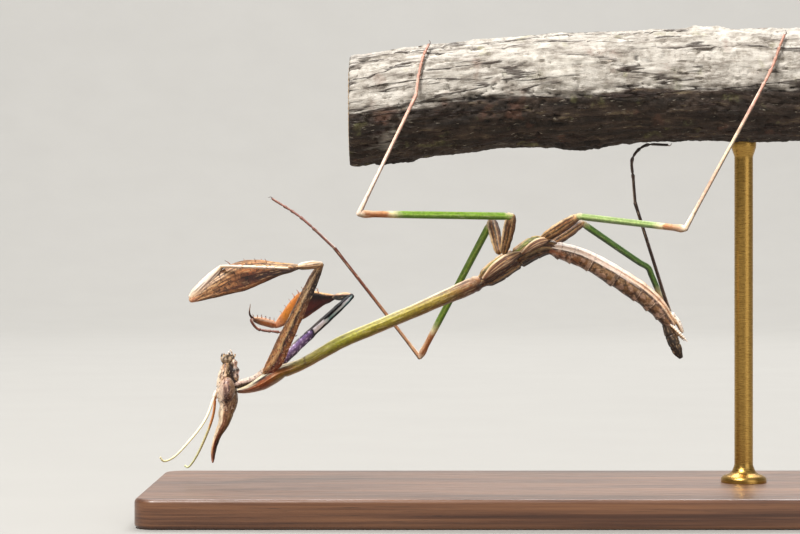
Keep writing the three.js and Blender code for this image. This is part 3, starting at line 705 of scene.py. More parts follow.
coxa_look = cuticle(
    "coxa",
    """
    0:    -1 dark -.6 brown -.3 bone -.1 umber .2 earth .4 bone .6 umber 1 cream
    .5:   -1 umber -.65 7b5236 -.35 cream -.15 umber .1 7a6a3c .35 97703f .55 umber .75 8a6844 .9 white
    .85:  -1 umber -.6 8b6246 -.3 cream -.1 umber .3 a97f58 .6 brown .85 white
    1:    -1 brown 0 cream 1 white
    """,
    radius=0.7, ragged=0.32, mottle=0.7, blotch=0.4, fibres=(0.6, 0.4), stretch=6,
    specks=[(3.6, 0.62, "umber", 0.7), (5.0, 0.66, "white", 0.4)], tint="dec29c",
)


def femur_look(name, lower, middle, light, upper, knee, cream=0.8, end="a9683a"):
    """A walking femur: a lighter band along its middle, a pale knuckle and a darker knee end."""
    stripes = f"-1 {lower} -.6 {lower} -.3 {middle} .1 {light} .45 {middle} 1 {upper}"
    return cuticle(
        name,
        f"""
        0:    -1 brown 0 bone 1 cream
        .03:  -1 {lower} 0 {light} 1 cream
        .06:  {stripes}
        {cream - 0.08}:  {stripes}
        {cream}:  -1 b59a5c 0 e9dcae 1 f2e8c4
        {cream + 0.04}:  -1 {knee} 0 b8703a 1 d8a878
        .96:  -1 {knee} 0 {end} 1 e4bf9a
        1:    -1 earth 0 cream 1 f2dccf
        """,
        radius=0.5, ragged=0.12, mottle=0.3, blotch=0.12, fibres=(0.25, 0.2), streak=0.15, stretch=8,
        specks=[(5.0, 0.68, "white", 0.35)], rough=0.4, tint="ffffff",
    )


def shin_look(name, tones, dark, mottle=0.4):
    """A thin leg part: the lower edge darker as painted shade, the upper edge white at the first end, colours
    in turn along it.
    """
    tones = tones.split()
    rows = [
        f"{i / (len(tones) - 1)}: -1 {dark} -.2 {tone} .5 {tone} 1 {tone if i else 'white'}"
        for i, tone in enumerate(tones)
    ]
    return cuticle(
        name, " ".join(rows), radius=0.3, ragged=0.25, mottle=mottle, stretch=6, fibres=(0.4, 0.4),
        specks=[(4.5, 0.64, dark, 0.6)], tint="fbf0e8",
    )


green_look = femur_look("green_femur", "4a7018", "6c9626", "9aba48", "88ac3c", "8a4f24")
mint_look = femur_look("mint_femur", "5f7a38", "82a254", "b4c680", "bccc92", "8f6a48", end="c49a78")
# A darker copy of the green femur: painted shade on the far hind leg.
shaded_femur_look = femur_look("shaded_femur", "2c4c12", "4c7a20", "6c9a34", "5c8a2a", "5a3a24", cream=0.88)
pale_shin_look = shin_look("pale_shin", "e6d6c6 f2e6dc e8ccc0 dcb4a6", "8a6858", 0.3)
tan_shin_look = shin_look("tan_shin", "e8dac4 ccb49c dcd2bc cfaa9a", "6f5a48", 0.3)
rusty_shin_look = shin_look("rusty_shin", "d8b48c b88a64 7a4430 6b3a2a", "4a2418")
# The far hind leg's shin is painted dark as shadow.
shadowed_shin_look = shin_look("shadowed_shin", "5c4030 3c2418 2e1a12", "120a07")
foot_look = shin_look("foot", "dcb8a8 cca090 b88874", "7c5a4a")
rusty_foot_look = shin_look("rusty_foot", "6b3a2a 7c4634 8a5844", "3a1c14")
# The far hind leg's foot is painted dark as shadow.
shadowed_foot_look = shin_look("shadowed_foot", "3c2418 2e1a12 22120c", "120a07")

# ---------------------------------------------------------------- trunk and head of the insect

flesh = []


def part(nodes, look, line, profile, sides, rings, swell=None, mould=None, dome=(0.6, 0.6)):
    """Adds a body to the insect's skin. It stands for the named solids."""
    points, faces = tube(line, profile, sides, rings, swell, dome)
    if mould is not None:
        points = mould(points)
    flesh.append({"nodes": nodes, "look": look, "line": line, "profile": profile, "body": (points, faces)})


EYE = {"x": -38, "y": 1.92, "z": 17.35, "half": (1.04, 1.3, 1.7)}
ANTENNA_BASES = [(-39.65, -0.75, 17.1), (-39.65, 0.75, 16.8)]
OCELLI = [(-39.7, 0, 16.1), (-39.55, -0.42, 15.6), (-39.55, 0.42, 15.6)]
FACE_SEAMS = [(19.9, 0.09), (18.9, 0.05), (14.9, 0.05)]


def mould_head(points):
    """Rims round the eyes, sockets for the feelers, three simple eyes and the seams of the face."""
    x, y, z = points.T
    ring = np.hypot((x - EYE["x"]) / EYE["half"][0], (z - EYE["z"]) / EYE["half"][2])
    rim = 0.16 * bump(ring, 1.12, 0.13) - 0.25 * bump(ring, 0.4, 0.5)
    y = y + np.sign(y) * rim * np.clip(np.abs(y) / 0.8, 0, 1)
    push = 0
    for _, cy, cz in ANTENNA_BASES:
        away = np.hypot(y - cy, z - cz)
        push = push + 0.16 * np.clip(1.3 - away / 0.38, 0, 1) ** 0.7 * (away < 0.5)
    for _, cy, cz in OCELLI:
        push = push + 0.16 * np.sqrt(np.clip(1 - (np.hypot(y - cy, z - cz) / 0.22) ** 2, 0, 1))
    for height, depth in FACE_SEAMS:
        push = push - depth * bump(z, height + 0.12 * np.abs(y), 0.1)
    push = push + 0.1 * bump(np.abs(y), 0.62 + 0.12 * (z - 18), 0.13) * (z > 17.6)
    x = x - push * np.clip((-38.3 - x) / 0.6, 0, 1)
    grains = 0.025 * wobble(x, y, z, 0.16, 3)
    return np.stack([x + grains, y + grains * np.sign(y), z], -1)


HEAD = Line([[-38.3, 20.9], [-38.5, 19], [-38.3, 17.2], [-38, 15.7], [-38.2, 14.3]])
HEAD_PROFILE = [
    [0, 0.75, 0.5], [0.12, 1.1, 0.72], [0.32, 1.55, 1.08], [0.55, 1.85, 1.33], [0.75, 1.75, 1.4],
    [0.9, 1.5, 1.2], [1, 1.35, 1.05],
]
CONE = Line([[-38.2, 14.6], [-38.3, 14.1], [-38.6, 12.6], [-39.5, 10.7], [-40.05, 8.9], [-40.2, 7.1]])
CONE_PROFILE = [
    [0, 1.3, 1.02], [0.07, 1.3, 1.02], [0.26, 1, 0.75], [0.54, 0.68, 0.46], [0.82, 0.42, 0.33],
    [0.95, 0.26, 0.22], [1, 0.16, 0.13],
]
THROAT = Line([[-38.1, 21.2], [-37.7, 20.2], [-37.3, 18.4]])
THROAT_PROFILE = [[0, 0.5, 0.45], [0.5, 0.7, 0.6], [1, 0.7, 0.6]]
LIP = Line([[-37.6, 22], [-37.3, 20.9], [-37.1, 19.8], [-37, 18.6]])
LIP_PROFILE = [[0, 0.4, 0.25], [0.3, 0.75, 0.45], [0.75, 0.85, 0.55], [1, 0.6, 0.4]]
NECK = Line([[-37.3, 17.8], [-36.9, 17.9], [-35.6, 18.3], [-34.4, 18.7], [-33.2, 19.6], [-32.3, 20.5]])
NECK_PROFILE = [[0, 0.5, 0.4], [0.1, 0.62, 0.55], [0.3, 0.9, 0.52], [0.62, 1.1, 0.52], [1, 0.9, 0.4]]


def swell_head(t, turn):
    return 0.05 * twin(turn, 240, 16) + 0.05 * uneven(t, turn, 7, 0.8, 1, wide=1.6)


def swell_cone(t, turn):
    keels = 0.1 * ridge(turn, 90, 14) + 0.08 * twin(turn, 150, 12) + 0.09 * twin(turn, 225, 12)
    hollows = 0.06 * twin(turn, 188, 16) + 0.06 * twin(turn, 120, 10)
    share = np.clip(1.15 - t, 0, 1) * np.clip(t / 0.12, 0, 1)
    return (keels - hollows) * share + 0.02 * uneven(t, turn, 8, 0.25, 2)


def swell_lip(t, turn):
    return (0.12 * np.cos(math.tau * t * 3.2) + 0.1 * twin(turn, 215, 25)) * fade(t, 0.25, 0.25)


def swell_neck(t, turn):
    return 0.035 * np.sin(math.tau * t * 14 + 1.5 * np.sin(turn * 2)) - 0.06 * ridge(turn, 270, 14)


part(["head"], face_look, HEAD, HEAD_PROFILE, 88, 90, swell_head, mould_head)
part(["head_cone"], cone_look, CONE, CONE_PROFILE, 44, 76, swell_cone, dome=(0.2, 1.2))
part([], throat_look, THROAT, THROAT_PROFILE, 24, 24)
part(["labium"], lip_look, LIP, LIP_PROFILE, 36, 44, swell_lip)
part(["neck"], neck_look, NECK, NECK_PROFILE, 36, 56, swell_neck)

CHEST = Line(
    [[-36.6, 17.05], [-35.1, 17.4], [-33.4, 18.2], [-31.1, 19.55], [-28, 20.7], [-22.4, 23.8],
     [-14, 27.4], [-2.8, 32.3]]
)
CHEST_PROFILE = [
    [0, 0.6, 0.35], [0.04, 1.05, 0.6], [0.1, 1.75, 1.05], [0.14, 1.9, 1.1], [0.19, 1.55, 0.9],
    [0.26, 1.1, 0.78], [0.4, 0.95, 0.84], [0.75, 1, 0.9], [0.92, 1.15, 1.05], [0.98, 1.3, 1.1],
    [1, 1, 0.85],
]
THORAX = Line([[-2.9, 32.1], [-2.4, 32.5], [0, 34.2], [2.8, 35.9], [5.2, 37.2], [7, 37.2], [7.5, 37.1]])
THORAX_PROFILE = [
    [0, 0.9, 0.8], [0.05, 1, 0.9], [0.12, 1.35, 1.3], [0.32, 1.45, 1.5], [0.55, 1.4, 1.4],
    [0.78, 1.45, 1.55], [0.95, 1.15, 1.05], [1, 1.05, 0.95],
]
THORAX_RIBS = [(250, 0.1), (222, 0.13), (196, 0.12), (158, 0.12), (128, 0.1)]
THORAX_VALLEYS = [236, 209, 177, 143]
ABDOMEN = Line([[6.9, 37], [7.2, 36.9], [11.2, 35.8], [16.8, 32.7], [21.4, 29.4], [23.9, 26.4]])
ABDOMEN_PROFILE = [
    [0, 1, 0.85], [0.02, 1.1, 0.9], [0.07, 1.4, 1.25], [0.36, 1.7, 1.45], [0.6, 1.75, 1.55],
    [0.8, 1.5, 1.45], [0.92, 1.25, 1.2], [1, 1, 0.95],
]


def swell_chest(t, turn):
    shield = np.clip((0.3 - t) / 0.05, 0, 1) * np.clip(t / 0.03, 0, 1)
    shaft = np.clip((t - 0.26) / 0.05, 0, 1) * np.clip((1 - t) / 0.03, 0, 1)
    teeth = np.sin(math.tau * t * 44 + 0.8 * np.sin(t * 60)) ** 2
    on_shield = 0.13 * twin(turn, 228, 9) + (0.16 + 0.05 * teeth) * twin(turn, 172, 7)
    folds = 0.05 * twin(turn, 238, 8) - 0.03 * twin(turn, 215, 9)
    on_shaft = (0.05 + 0.05 * teeth) * twin(turn, 196, 7) + folds
    crest = 0.07 * ridge(turn, 90, 8) * np.clip(t / 0.02, 0, 1)
    grooves = 0.1 * bump(t, 0.185, 0.006) * np.clip(np.sin(turn), 0, 1) + 0.08 * bump(t, 0.972, 0.006)
    return on_shield * shield + on_shaft * shaft + crest - grooves + 0.018 * uneven(t, turn, 33, 0.3, 4)


def swell_thorax(t, turn):
    ribs = sum(height * twin(turn, at, 8) for at, height in THORAX_RIBS)
    valleys = sum(0.08 * twin(turn, at, 7) for at in THORAX_VALLEYS)
    parting = 0.3 * bump(t, 0.53, 0.014) + 0.12 * bump(t, 0.3, 0.008) + 0.12 * bump(t, 0.77, 0.008)
    crest = 0.16 * ridge(turn, 90, 9)
    rough = 0.05 * uneven(t, turn, 12, 0.5, 5, 1.5, 1.5)
    return (ribs - valleys + crest - parting + rough) * fade(t, 0.1, 0.1)


def swell_abdomen(t, turn):
    borders = np.array(SEGMENTS, float)
    i = np.clip(np.searchsorted(borders, t, side="right") - 1, 0, len(borders) - 2)
    length = borders[i + 1] - borders[i]
    share = (t - borders[i]) / length
    flare = (0.1 * share - 0.05 - 0.06 * bump(share, 1.02, 0.05)) * (0.6 + 0.4 * np.sin(turn))
    lobe = 0.09 * np.clip((share - 0.5) / 0.45, 0, 1) ** 1.4 * ridge(turn, 90, 22) * (length > 0.05)
    fold = 0.16 * twin(turn, 214, 6) - 0.16 * twin(turn, 206, 6) - 0.05 * ridge(turn, 270, 30)
    creases = 0.02 * twin(turn, 232, 6) * bump(share, 0.5, 0.3)
    rough = 0.035 * uneven(t, turn, 22, 0.45, 6, 1.6, 1.6)
    return (flare + lobe + fold + 0.05 * np.cos(turn * 2) - creases + rough) * fade(t, 0.02, 0.02)


prothorax = ["prothorax_shield", "prothorax_shaft"]
part(prothorax, chest_look, CHEST, CHEST_PROFILE, 52, 240, swell_chest, dome=(0.7, 0.5))
part(["mesothorax", "metathorax"], thorax_look, THORAX, THORAX_PROFILE, 72, 96, swell_thorax)
segments = [f"abdomen_{i}" for i in range(1, 9)]
part(segments, abdomen_look, ABDOMEN, ABDOMEN_PROFILE, 64, 200, swell_abdomen)

# ---------------------------------------------------------------- legs

LENGTH = {
    "fore": {"coxa": 16.2, "trochanter": 3.8, "femur": 15.2, "tibia": 5.8},
    "mid": {"coxa": 6.2, "femur": 24.8, "tibia": 20.4},
    "hind": {"coxa": 6.4, "femur": 24, "tibia": 23},
}
POSE = {
    "fore_right": {
        "root": [-31.7, -1.5, 20.6], "coxa": [-29.5, 61], "roll": 0, "trochanter": [-148, -6],
        "femur": [-168, -17], "tibia": [12, 44.5], "rise": 0.4,
        "claw": [[0.8, 0.15, 0.1], [1.7, 0.3, -0.3]],
        "foot": [[0.3, -0.7, 0.05], [3.6, -0.6, 0], [9, -0.1, -0.2]],
        "looks": [near_coxa_look, near_ring_look, near_blade_look, near_shank_look, near_shank_look],
    },
    "fore_left": {
        "root": [-30.9, 1.5, 21], "coxa": [42, 34.5], "roll": 45, "trochanter": [135.5, -3.5],
        "femur": [128.8, -17], "tibia": [-124, 10], "rise": 0.1,
        "claw": [[-0.35, -0.7, 0.8], [-0.2, -1.2, 2.3]],
        "foot": [[-0.1, -0.6, -0.2], [0.8, -0.3, -1.4], [3.8, -0.3, -1.9], [6.2, 0.2, -2.4]],
        "looks": [far_coxa_look, far_ring_look, far_blade_look, far_shank_look, rusty_foot_look],
    },
    "mid_right": {
        "root": [0.5, -1.3, 36.5], "coxa": [-77, 51.5], "femur": [-147, 0], "tibia": [51, 53.5],
        "looks": [coxa_look, green_look, pale_shin_look, foot_look],
    },
    "mid_left": {
        "root": [-0.1, 1.1, 36.5], "coxa": [101, 46.5], "femur": [133.5, -53.5], "tibia": [180, 52],
        "looks": [coxa_look, green_look, rusty_shin_look, rusty_foot_look],
    },
    "hind_right": {
        "root": [6.1, -1.1, 38.4], "coxa": [-38, 27.5], "femur": [-59.5, -5], "tibia": [48.5, 46.5],
        "looks": [coxa_look, mint_look, tan_shin_look, foot_look],
    },
    "hind_left": {
        "root": [7.2, 1.2, 37.7], "coxa": [35.5, 27], "femur": [43.2, -33.6], "chord": 23,
        "tibia": [-113.2, 42.5], "looks": [coxa_look, shaded_femur_look, shadowed_shin_look, shadowed_foot_look],
        "bend": [[20.9, 13.8, 35.1], [22.5, 15.4, 34.2], [23, 15.95, 33.2], [24.5, 17.2, 30.1]],
    },
}
HIP_END = [1, 0.4, 0.42]
KNEE_END = [[0.9, 0.36, 0.4], [0.965, 0.38, 0.5], [1, 0.28, 0.34]]
SHIN = [[0, 0.3, 0.34], [0.05, 0.27, 0.3], [0.2, 0.22, 0.24], [0.9, 0.2, 0.22], [1, 0.24, 0.25]]
PROFILES = {
    "fore_coxa": [
        [0, 0.45, 0.45], [0.06, 0.6, 0.85], [0.15, 0.7, 1.12], [0.5, 0.6, 0.95], [0.88, 0.5, 0.68], HIP_END,
    ],
    "fore_trochanter": [[0, 0.3, 0.35], [0.35, 0.5, 0.55], [0.75, 0.45, 0.5], [1, 0.3, 0.3]],
    "fore_femur": [
        [0, 0.3, 0.4], [0.15, 0.42, 0.8], [0.36, 0.52, 1.65], [0.5, 0.55, 1.95], [0.7, 0.5, 1.5],
        [0.88, 0.42, 0.85], [1, 0.3, 0.4],
    ],
    "fore_tibia": [[0, 0.3, 0.38], [0.15, 0.4, 0.6], [0.6, 0.36, 0.58], [1, 0.26, 0.3]],
    "mid_coxa": [[0, 0.5, 0.5], [0.3, 0.6, 0.68], [0.85, 0.62, 0.75], [1, 0.45, 0.5]],
    "mid_femur": [[0, 0.42, 0.45], [0.02, 0.5, 0.52], [0.06, 0.46, 0.5], [0.75, 0.42, 0.45], *KNEE_END],
    "hind_coxa": [[0, 0.55, 0.55], [0.3, 0.65, 0.75], [0.85, 0.6, 0.62], HIP_END],
    "hind_femur": [[0, 0.4, 0.42], [0.02, 0.48, 0.5], [0.06, 0.44, 0.46], [0.75, 0.38, 0.41], *KNEE_END],
}
FORE_FEMUR_BOW = 1.05
FOOT_PROFILE = [[0, 0.25, 0.25], [0.5, 0.22, 0.22], [1, 0.2, 0.2]]
FOOT_JOINTS = [0.36, 0.56, 0.71, 0.83]
BRANCH_START, BRANCH_END, BRANCH_RADIUS = -21, 48, 7.8
BRANCH = Line([[BRANCH_START, 56.2], [-8.4, 57.8], [11.2, 59.3], [28, 59.8], [BRANCH_END, 59.9]])
# A walking foot: points in the air as a length and two angles from the ankle, then points on the bark.
TOES_IN_AIR = {
    "mid_left": [[7.3, 154, 39], [13.4, 147.5, 33.5]],
    "hind_left": [[3.75, -102, 54], [7.5, -100.5, 54]],
}
TOES_ON_BARK = {
    "mid_right": [[-11.4, 20, 0.7], [-10.7, 45, 0.45], [-10, 64, 0.5]],
    "hind_right": [[36.9, 14, 0.7], [38, 34, 0.5], [38.9, 50, 0.5]],
    "hind_left": [[20.4, -86, 0.5], [23.4, -86, 0.5]],
}


def along_branch(x):
    return (x - BRANCH_START) / (BRANCH_END - BRANCH_START)


def off_bark(x, angle, clearance):
    """A point off the bark: the angle turns from the front of the branch to its top."""
    turn = math.radians(angle)
    out = np.array([0, -math.cos(turn), math.sin(turn)])
    return BRANCH.at(along_branch(x)) + out * (BRANCH_RADIUS + clearance)


def swell_fore_coxa(t, turn):
    edges = 0.1 * ridge(turn, 90, 14) + 0.08 * ridge(turn, 270, 14)
    sides = 0.07 * twin(turn, 180, 16) - 0.08 * twin(turn, 212, 13) - 0.05 * twin(turn, 140, 14)
    beads = 0.05 * np.sin(math.tau * t * 17) ** 4 * (ridge(turn, 90, 16) + ridge(turn, 270, 16))
    return (edges + sides + beads + 0.03 * uneven(t, turn, 15, 0.3, 7)) * fade(t, 0.04, 0.08)


def swell_ring(t, turn):
    return 0.05 * ridge(turn, 90, 16) * np.sin(math.pi * t)


def swell_blade(t, turn):
    edges = 0.12 * ridge(turn, 90, 8) - 0.1 * twin(turn, 116, 8) + 0.05 * ridge(turn, 270, 14)
    ribs = 0.05 * twin(turn, 150, 9) - 0.05 * twin(turn, 196, 14) + 0.05 * twin(turn, 228, 9)
    wrinkles = 0.03 * np.sin(math.tau * t * 26) * twin(turn, 128, 12)
    return (edges + ribs + wrinkles + 0.02 * uneven(t, turn, 14, 0.3, 8, high=2)) * fade(t, 0.06, 0.06)


def swell_shank(t, turn):
    return (0.05 * ridge(turn, 90, 14) - 0.05 * twin(turn, 190, 20)) * np.sin(math.pi * t)


def swell_hip(t, turn):
    ribs = 0.09 * np.cos(turn * 4 + 0.6) * np.sin(math.pi * np.clip(t, 0.05, 0.95)) ** 0.5
    return ribs + 0.03 * uneven(t, turn, 6, 0.3, 9)


def swell_femur(t, turn):
    return 0.03 * np.cos(turn * 4) * fade(t, 0.08, 0.05) - 0.1 * bump(t, 0.035, 0.006)


def swell_tibia(t, turn):
    teeth = 0.05 * np.maximum(np.sin(math.tau * t * 18), 0) ** 6
    return 0.02 * np.cos(turn * 4) + teeth * (ridge(turn, 45, 22) + ridge(turn, 135, 22))


def swell_foot(t, turn):
    """Five joints, each a little wider at its far end, and a little wider than deep."""
    joints = sum(0.06 * bump(t, joint - 0.035, 0.022) - 0.09 * bump(t, joint, 0.012) for joint in FOOT_JOINTS)
    return joints + 0.02 * np.cos(turn * 2)


thorns = {}


def foot_claws(line, size=0.75):
    """The two hooked claws at the end of a foot."""
    along, side, up = (v[0] for v in line.frame([1.0]))
    end = line.at(1.0)
    hooks = []
    for way in (-1, 1):
        middle = end + (along * 0.5 + side * way * 0.34 + up * 0.16) * size
        tip = end + (along * 0.85 + side * way * 0.5 - up * 0.28) * size
        hooks.append(thorn([end - along * 0.15, middle, tip], 0.11, 0.02))
    return hooks


def row_of_thorns(line, profile, places, length, lean, spread, radius):
    """Spines along the upper edge of a blade, turned out to each side by turns."""
    spikes = []
    for i, at in enumerate(places):
        along, side, up = (v[0] for v in line.frame([at]))
        high = rounded(profile, np.array([at]))[1][0]
        out = side * (spread if i % 2 else -spread)
        tall = length * (1 if i % 3 else 1.25)
        foot = line.at(at) + up * (high - 0.15) + out * 0.6
        bend = foot + up * (0.15 + tall * 0.5) + along * lean * tall * 0.3 + out * 0.3
        tip = foot + up * (0.15 + tall) + along * lean * tall + out * 0.8
        spikes.append(thorn([foot, bend, tip], radius))
    return spikes


def make_fore_leg(side):
    pose, size = POSE[f"fore_{side}"], LENGTH["fore"]
    aims = {bone: heading(*pose[bone]) for bone in size}
    root = np.array(pose["root"], float)
    hip = root + aims["coxa"] * size["coxa"]
    ring = hip + aims["trochanter"] * size["trochanter"]
    knee = ring + aims["femur"] * size["femur"]
    hinge = knee + UP * pose["rise"]
    tip = hinge + aims["tibia"] * size["tibia"]
    heel = root + np.array([-1.1, -0.25 * root[1], -1.0])

    flat = across_blade(aims["coxa"], pose["roll"])
    upper = Line([heel, root + aims["coxa"] * 0.7, root + aims["coxa"] * 4, hip], flat)
    arch = (ring + knee) / 2 + UP * FORE_FEMUR_BOW
    thigh = Line([ring, arch, knee], across_blade(aims["femur"]))
    shank = Line([hinge, tip], across_blade(aims["tibia"]))
    foot = Line([tip, *(tip + np.array(step) for step in pose["foot"])])
    wide_dome = (0.9, 0.9)
    for (bone, line, sides, rings, swell, dome), look in zip(
        (
            ("coxa", upper, 32, 104, swell_fore_coxa, (0.6, 0.6)),
            ("trochanter", Line([hip, ring]), 28, 36, swell_ring, wide_dome),
            ("femur", thigh, 48, 104, swell_blade, wide_dome),
            ("tibia", shank, 28, 52, swell_shank, (0.9, 0.7)),
            ("tarsus", foot, 14, 70, swell_foot, (0.6, 0.6)),
        ),
        pose["looks"],
    ):
        profile = PROFILES.get(f"fore_{bone}", FOOT_PROFILE)
        part([f"fore_{bone}_{side}"], look, line, profile, sides, rings, swell, dome=dome)

    blade = (thigh, PROFILES["fore_femur"])
    if side == "right":
        spikes = row_of_thorns(*blade, [0.27, 0.3, 0.36, 0.44, 0.64, 0.72], 0.28, 0.4, 0.2, 0.09)
        spikes += row_of_thorns(*blade, [0.56], 0.75, 0.6, 0.2, 0.11)
    else:
        spikes = row_of_thorns(*blade, np.linspace(0.22, 0.62, 12), 0.6, 0.3, 0.26, 0.11)
        spikes += row_of_thorns(*blade, np.linspace(0.66, 0.84, 5), 0.35, 0.3, 0.22, 0.08)
        teeth = np.linspace(0.12, 0.92, 10)
        spikes += row_of_thorns(shank, PROFILES["fore_tibia"], teeth, 0.34, 0.5, 0.2, 0.09)
    thorns[f"fore_thorns_{side}"] = spikes
    hook = [tip - aims["tibia"] * 0.3, *(tip + np.array(c) for c in pose["claw"])]
    thorns[f"fore_claws_{side}"] = [thorn(hook, 0.26, 0.03, 14, 16), *foot_claws(foot, 0.55)]


def make_walking_leg(leg):
    pair, side = leg.split("_")
    pose, size = POSE[leg], LENGTH[pair]
    root = np.array(pose["root"], float)
    hip = root + heading(*pose["coxa"]) * size["coxa"]
    knee = hip + heading(*pose["femur"]) * pose.get("chord", size["femur"])
    ankle = knee + heading(*pose["tibia"]) * size["tibia"]
    toes = [ankle + heading(*angles) * length for length, *angles in TOES_IN_AIR.get(leg, [])]
    toes += [off_bark(*spot) for spot in TOES_ON_BARK.get(leg, [])]
    foot = Line([ankle, *toes])
    for (bone, line, sides, rings, swell, blunt), look in zip(
        (
            ("coxa", Line([root, hip]), 32, 46, swell_hip, 0.6),
            ("femur", Line([hip, *pose.get("bend", []), knee]), 20, 90, swell_femur, 0.9),
            ("tibia", Line([knee, ankle]), 16, 108, swell_tibia, 0.9),
            ("tarsus", foot, 14, 80, swell_foot, 0.9),
        ),
        pose["looks"],
    ):
        profile = PROFILES.get(f"{pair}_{bone}", SHIN if bone == "tibia" else FOOT_PROFILE)
        part([f"{pair}_{bone}_{side}"], look, line, profile, sides, rings, swell, dome=(blunt, 0.9))
    thorns[f"{pair}_claws_{side}"] = foot_claws(foot)


make_fore_leg("right")
make_fore_leg("left")
for leg in ("mid_right", "mid_left", "hind_right", "hind_left"):
    make_walking_leg(leg)

# ---------------------------------------------------------------- one skin from all the parts


def make_skin():
    """Unites the parts, then notes for each face corner how it lies on the part it came from."""
    looks = [p["look"] for p in flesh]
    bodies = []
    for i, p in enumerate(flesh):
        body = make_object(f"part_{i}", *p["body"], looks)
        body.data.polygons.foreach_set("material_index", np.full(len(body.data.polygons), i))
        bodies.append(body)
    for other in bodies[1:]:
        union = bodies[0].modifiers.new("union", "BOOLEAN")
        union.operation, union.solver, union.object = "UNION", "MANIFOLD", other
    mesh = bpy.data.meshes.new_from_object(bodies[0].evaluated_get(bpy.context.evaluated_depsgraph_get()))
    for body in bodies:
        bpy.data.objects.remove(body)
    mesh.name = "mantis_skin"

    origin = np.empty(len(mesh.polygons), int)
    mesh.polygons.foreach_get("material_index", origin)
    sizes = np.empty(len(mesh.polygons), int)
    mesh.polygons.foreach_get("loop_total", sizes)
    corner_origin = np.repeat(origin, sizes)
    corners, spots = corner_spots(mesh)
    facts = np.zeros((4, len(corners)))
    for i, p in enumerate(flesh):
        mine = corner_origin == i
        facts[:, mine] = lie_on(spots[corners[mine]], p["line"], p["profile"])
    write_lie(mesh, *facts)

    unique = list(dict.fromkeys(looks))
    mesh.materials.clear()
    for look in unique:
        mesh.materials.append(look)
    slots = np.array([unique.index(look) for look in looks])
    mesh.polygons.foreach_set("material_index", slots[origin])
    settle(linked("mantis_skin", mesh), 50, [node for p in flesh for node in p["nodes"]])


make_skin()

# ---------------------------------------------------------------- separate pieces of the insect

eye_look = cuticle(
    "eye",
    """
    0:    -1 7a6850 -.3 8a6c60 0 34191f .3 3c2028 .6 8a6868 1 ccb8ac
    .22:  -1 907c62 -.4 a48a76 -.1 4e2e3a .2 5a3846 .4 b8a29c .6 f2e8de 1 f6ede4
    .5:   -1 9a866a -.5 bca48c -.2 745058 0 d0bcb0 .18 6a444e .36 c8b4ac .55 f8efe6 1 faf2ea
    .78:  -1 9a8868 -.4 c8b29c -.1 98787a .12 e0d0c6 .32 8a666c .52 f6ece4 1 f6ede4
    1:    -1 8a7858 0 cfbaa6 1 f2e6da
    """,
    radius=1.5, ragged=0.4, wander=0.12, mottle=0.5, streak=0.4, blotch=0.3, fibres=(0.75, 0.5),
    stretch=6, specks=[(2.4, 0.6, "3c1f2c", 0.75), (3.4, 0.62, "f6e8dc", 0.6)],
    bands=[(0.08, 0.08, "2c1722", 0.6)], rough=0.36, relief=0.02, coat=0.1, tint="dcc6b8", shine=0.4,
)
near_feeler_look = cuticle(
    "near_feeler",
    """
    0:   -1 dcc8b0 1 fff6ea
    .5:  -1 ece6c0 1 fbf8e2
    1:   -1 c4c090 1 e6e2b8
    """,
    radius=0.2, mottle=0.15, streak=0.1, blotch=0.1, fibres=(0.1, 0.2), tint="fff8f0",
)
far_feeler_look = cuticle(
    "far_feeler",
    """
    0:    -1 a8622c 1 dc8c50
    .33:  -1 b07440 1 e4a468
    .46:  -1 b8b078 1 e0dcA8
    1:    -1 b4bc84 1 dfe6b8
    """,
    radius=0.2, mottle=0.15, streak=0.1, blotch=0.1, fibres=(0.1, 0.2), tint="fff8f0",
)
jaw_look = cuticle(
    "jaw",
    """
    0:    -1 umber 0 bone 1 white
    .35:  -1 dark -.3 umber 0 cream .4 umber 1 cream
    .6:   -1 earth -.2 dark .2 bone .6 umber 1 cream
    1:    -1 bone 0 b89880 1 white
    """,
    radius=0.5, ragged=0.5, wander=0.15, mottle=0.6,
    specks=[(1.8, 0.58, "dark", 0.9), (4.0, 0.64, "white", 0.5)], tint="f2e8de",
)
pad_look = cuticle(
    "wing_pad",
    """
    0:   -1 umber -.4 6a4430 .3 7a5038 .75 bone 1 white
    .5:  -1 dark -.8 8a6444 -.6 4a2c20 -.42 cream -.3 5c3626 -.05 7c5238 .12 bone .25 5c3626 .55 8a5c40
         .68 umber .82 cream 1 white
    1:   -1 dark -.2 6a4030 .2 bone .5 7a5038 1 cream
    """,
    radius=1.2, ragged=0.12, mottle=0.6, blotch=0.4, fibres=(0.6, 0.4), stretch=8,
    specks=[(3.4, 0.64, "umber", 0.6)], tint="ead6c0",
)
tail_look = cuticle(
    "tail",
    """
    0:   -1 dark -.2 4a3a24 .5 6a5436 1 bone
    .5:  -1 17100b 0 3c3020 .6 5a4a30 1 8a7856
    1:   -1 100b08 1 3a2e20
    """,
    radius=0.9, mottle=0.7, specks=[(3.0, 0.6, "0f0a07", 0.8), (4.0, 0.66, "a8966c", 0.6)],
)
pale_look = cuticle(
    "pale_plate",
    """
    0:   -1 brown -.5 bone 0 white 1 fffdfa
    .6:  -1 earth -.4 cream 0 white 1 fffdfa
    1:   -1 b89a78 1 white
    """,
    radius=0.5, mottle=0.25, blotch=0.2, specks=[(2.4, 0.6, "earth", 0.8), (3.6, 0.64, "6a4a34", 0.6)],
    tint="f8eee6",
)
thorn_look = cuticle(
    "thorn",
    """
    0:   -1 b48a6c 1 ecd0c0
    .6:  -1 8a5a40 1 d8a892
    1:   -1 dark 1 umber
    """,
    radius=0.2, mottle=0.2, rough=0.4,
)
claw_look = cuticle(
    "claw",
    """
    0:   -1 6a3c22 1 a8683c
    .6:  -1 umber 1 6a3820
    1:   -1 120a07 1 umber
    """,
    radius=0.2, mottle=0.2, rough=0.3, coat=0.2,
)


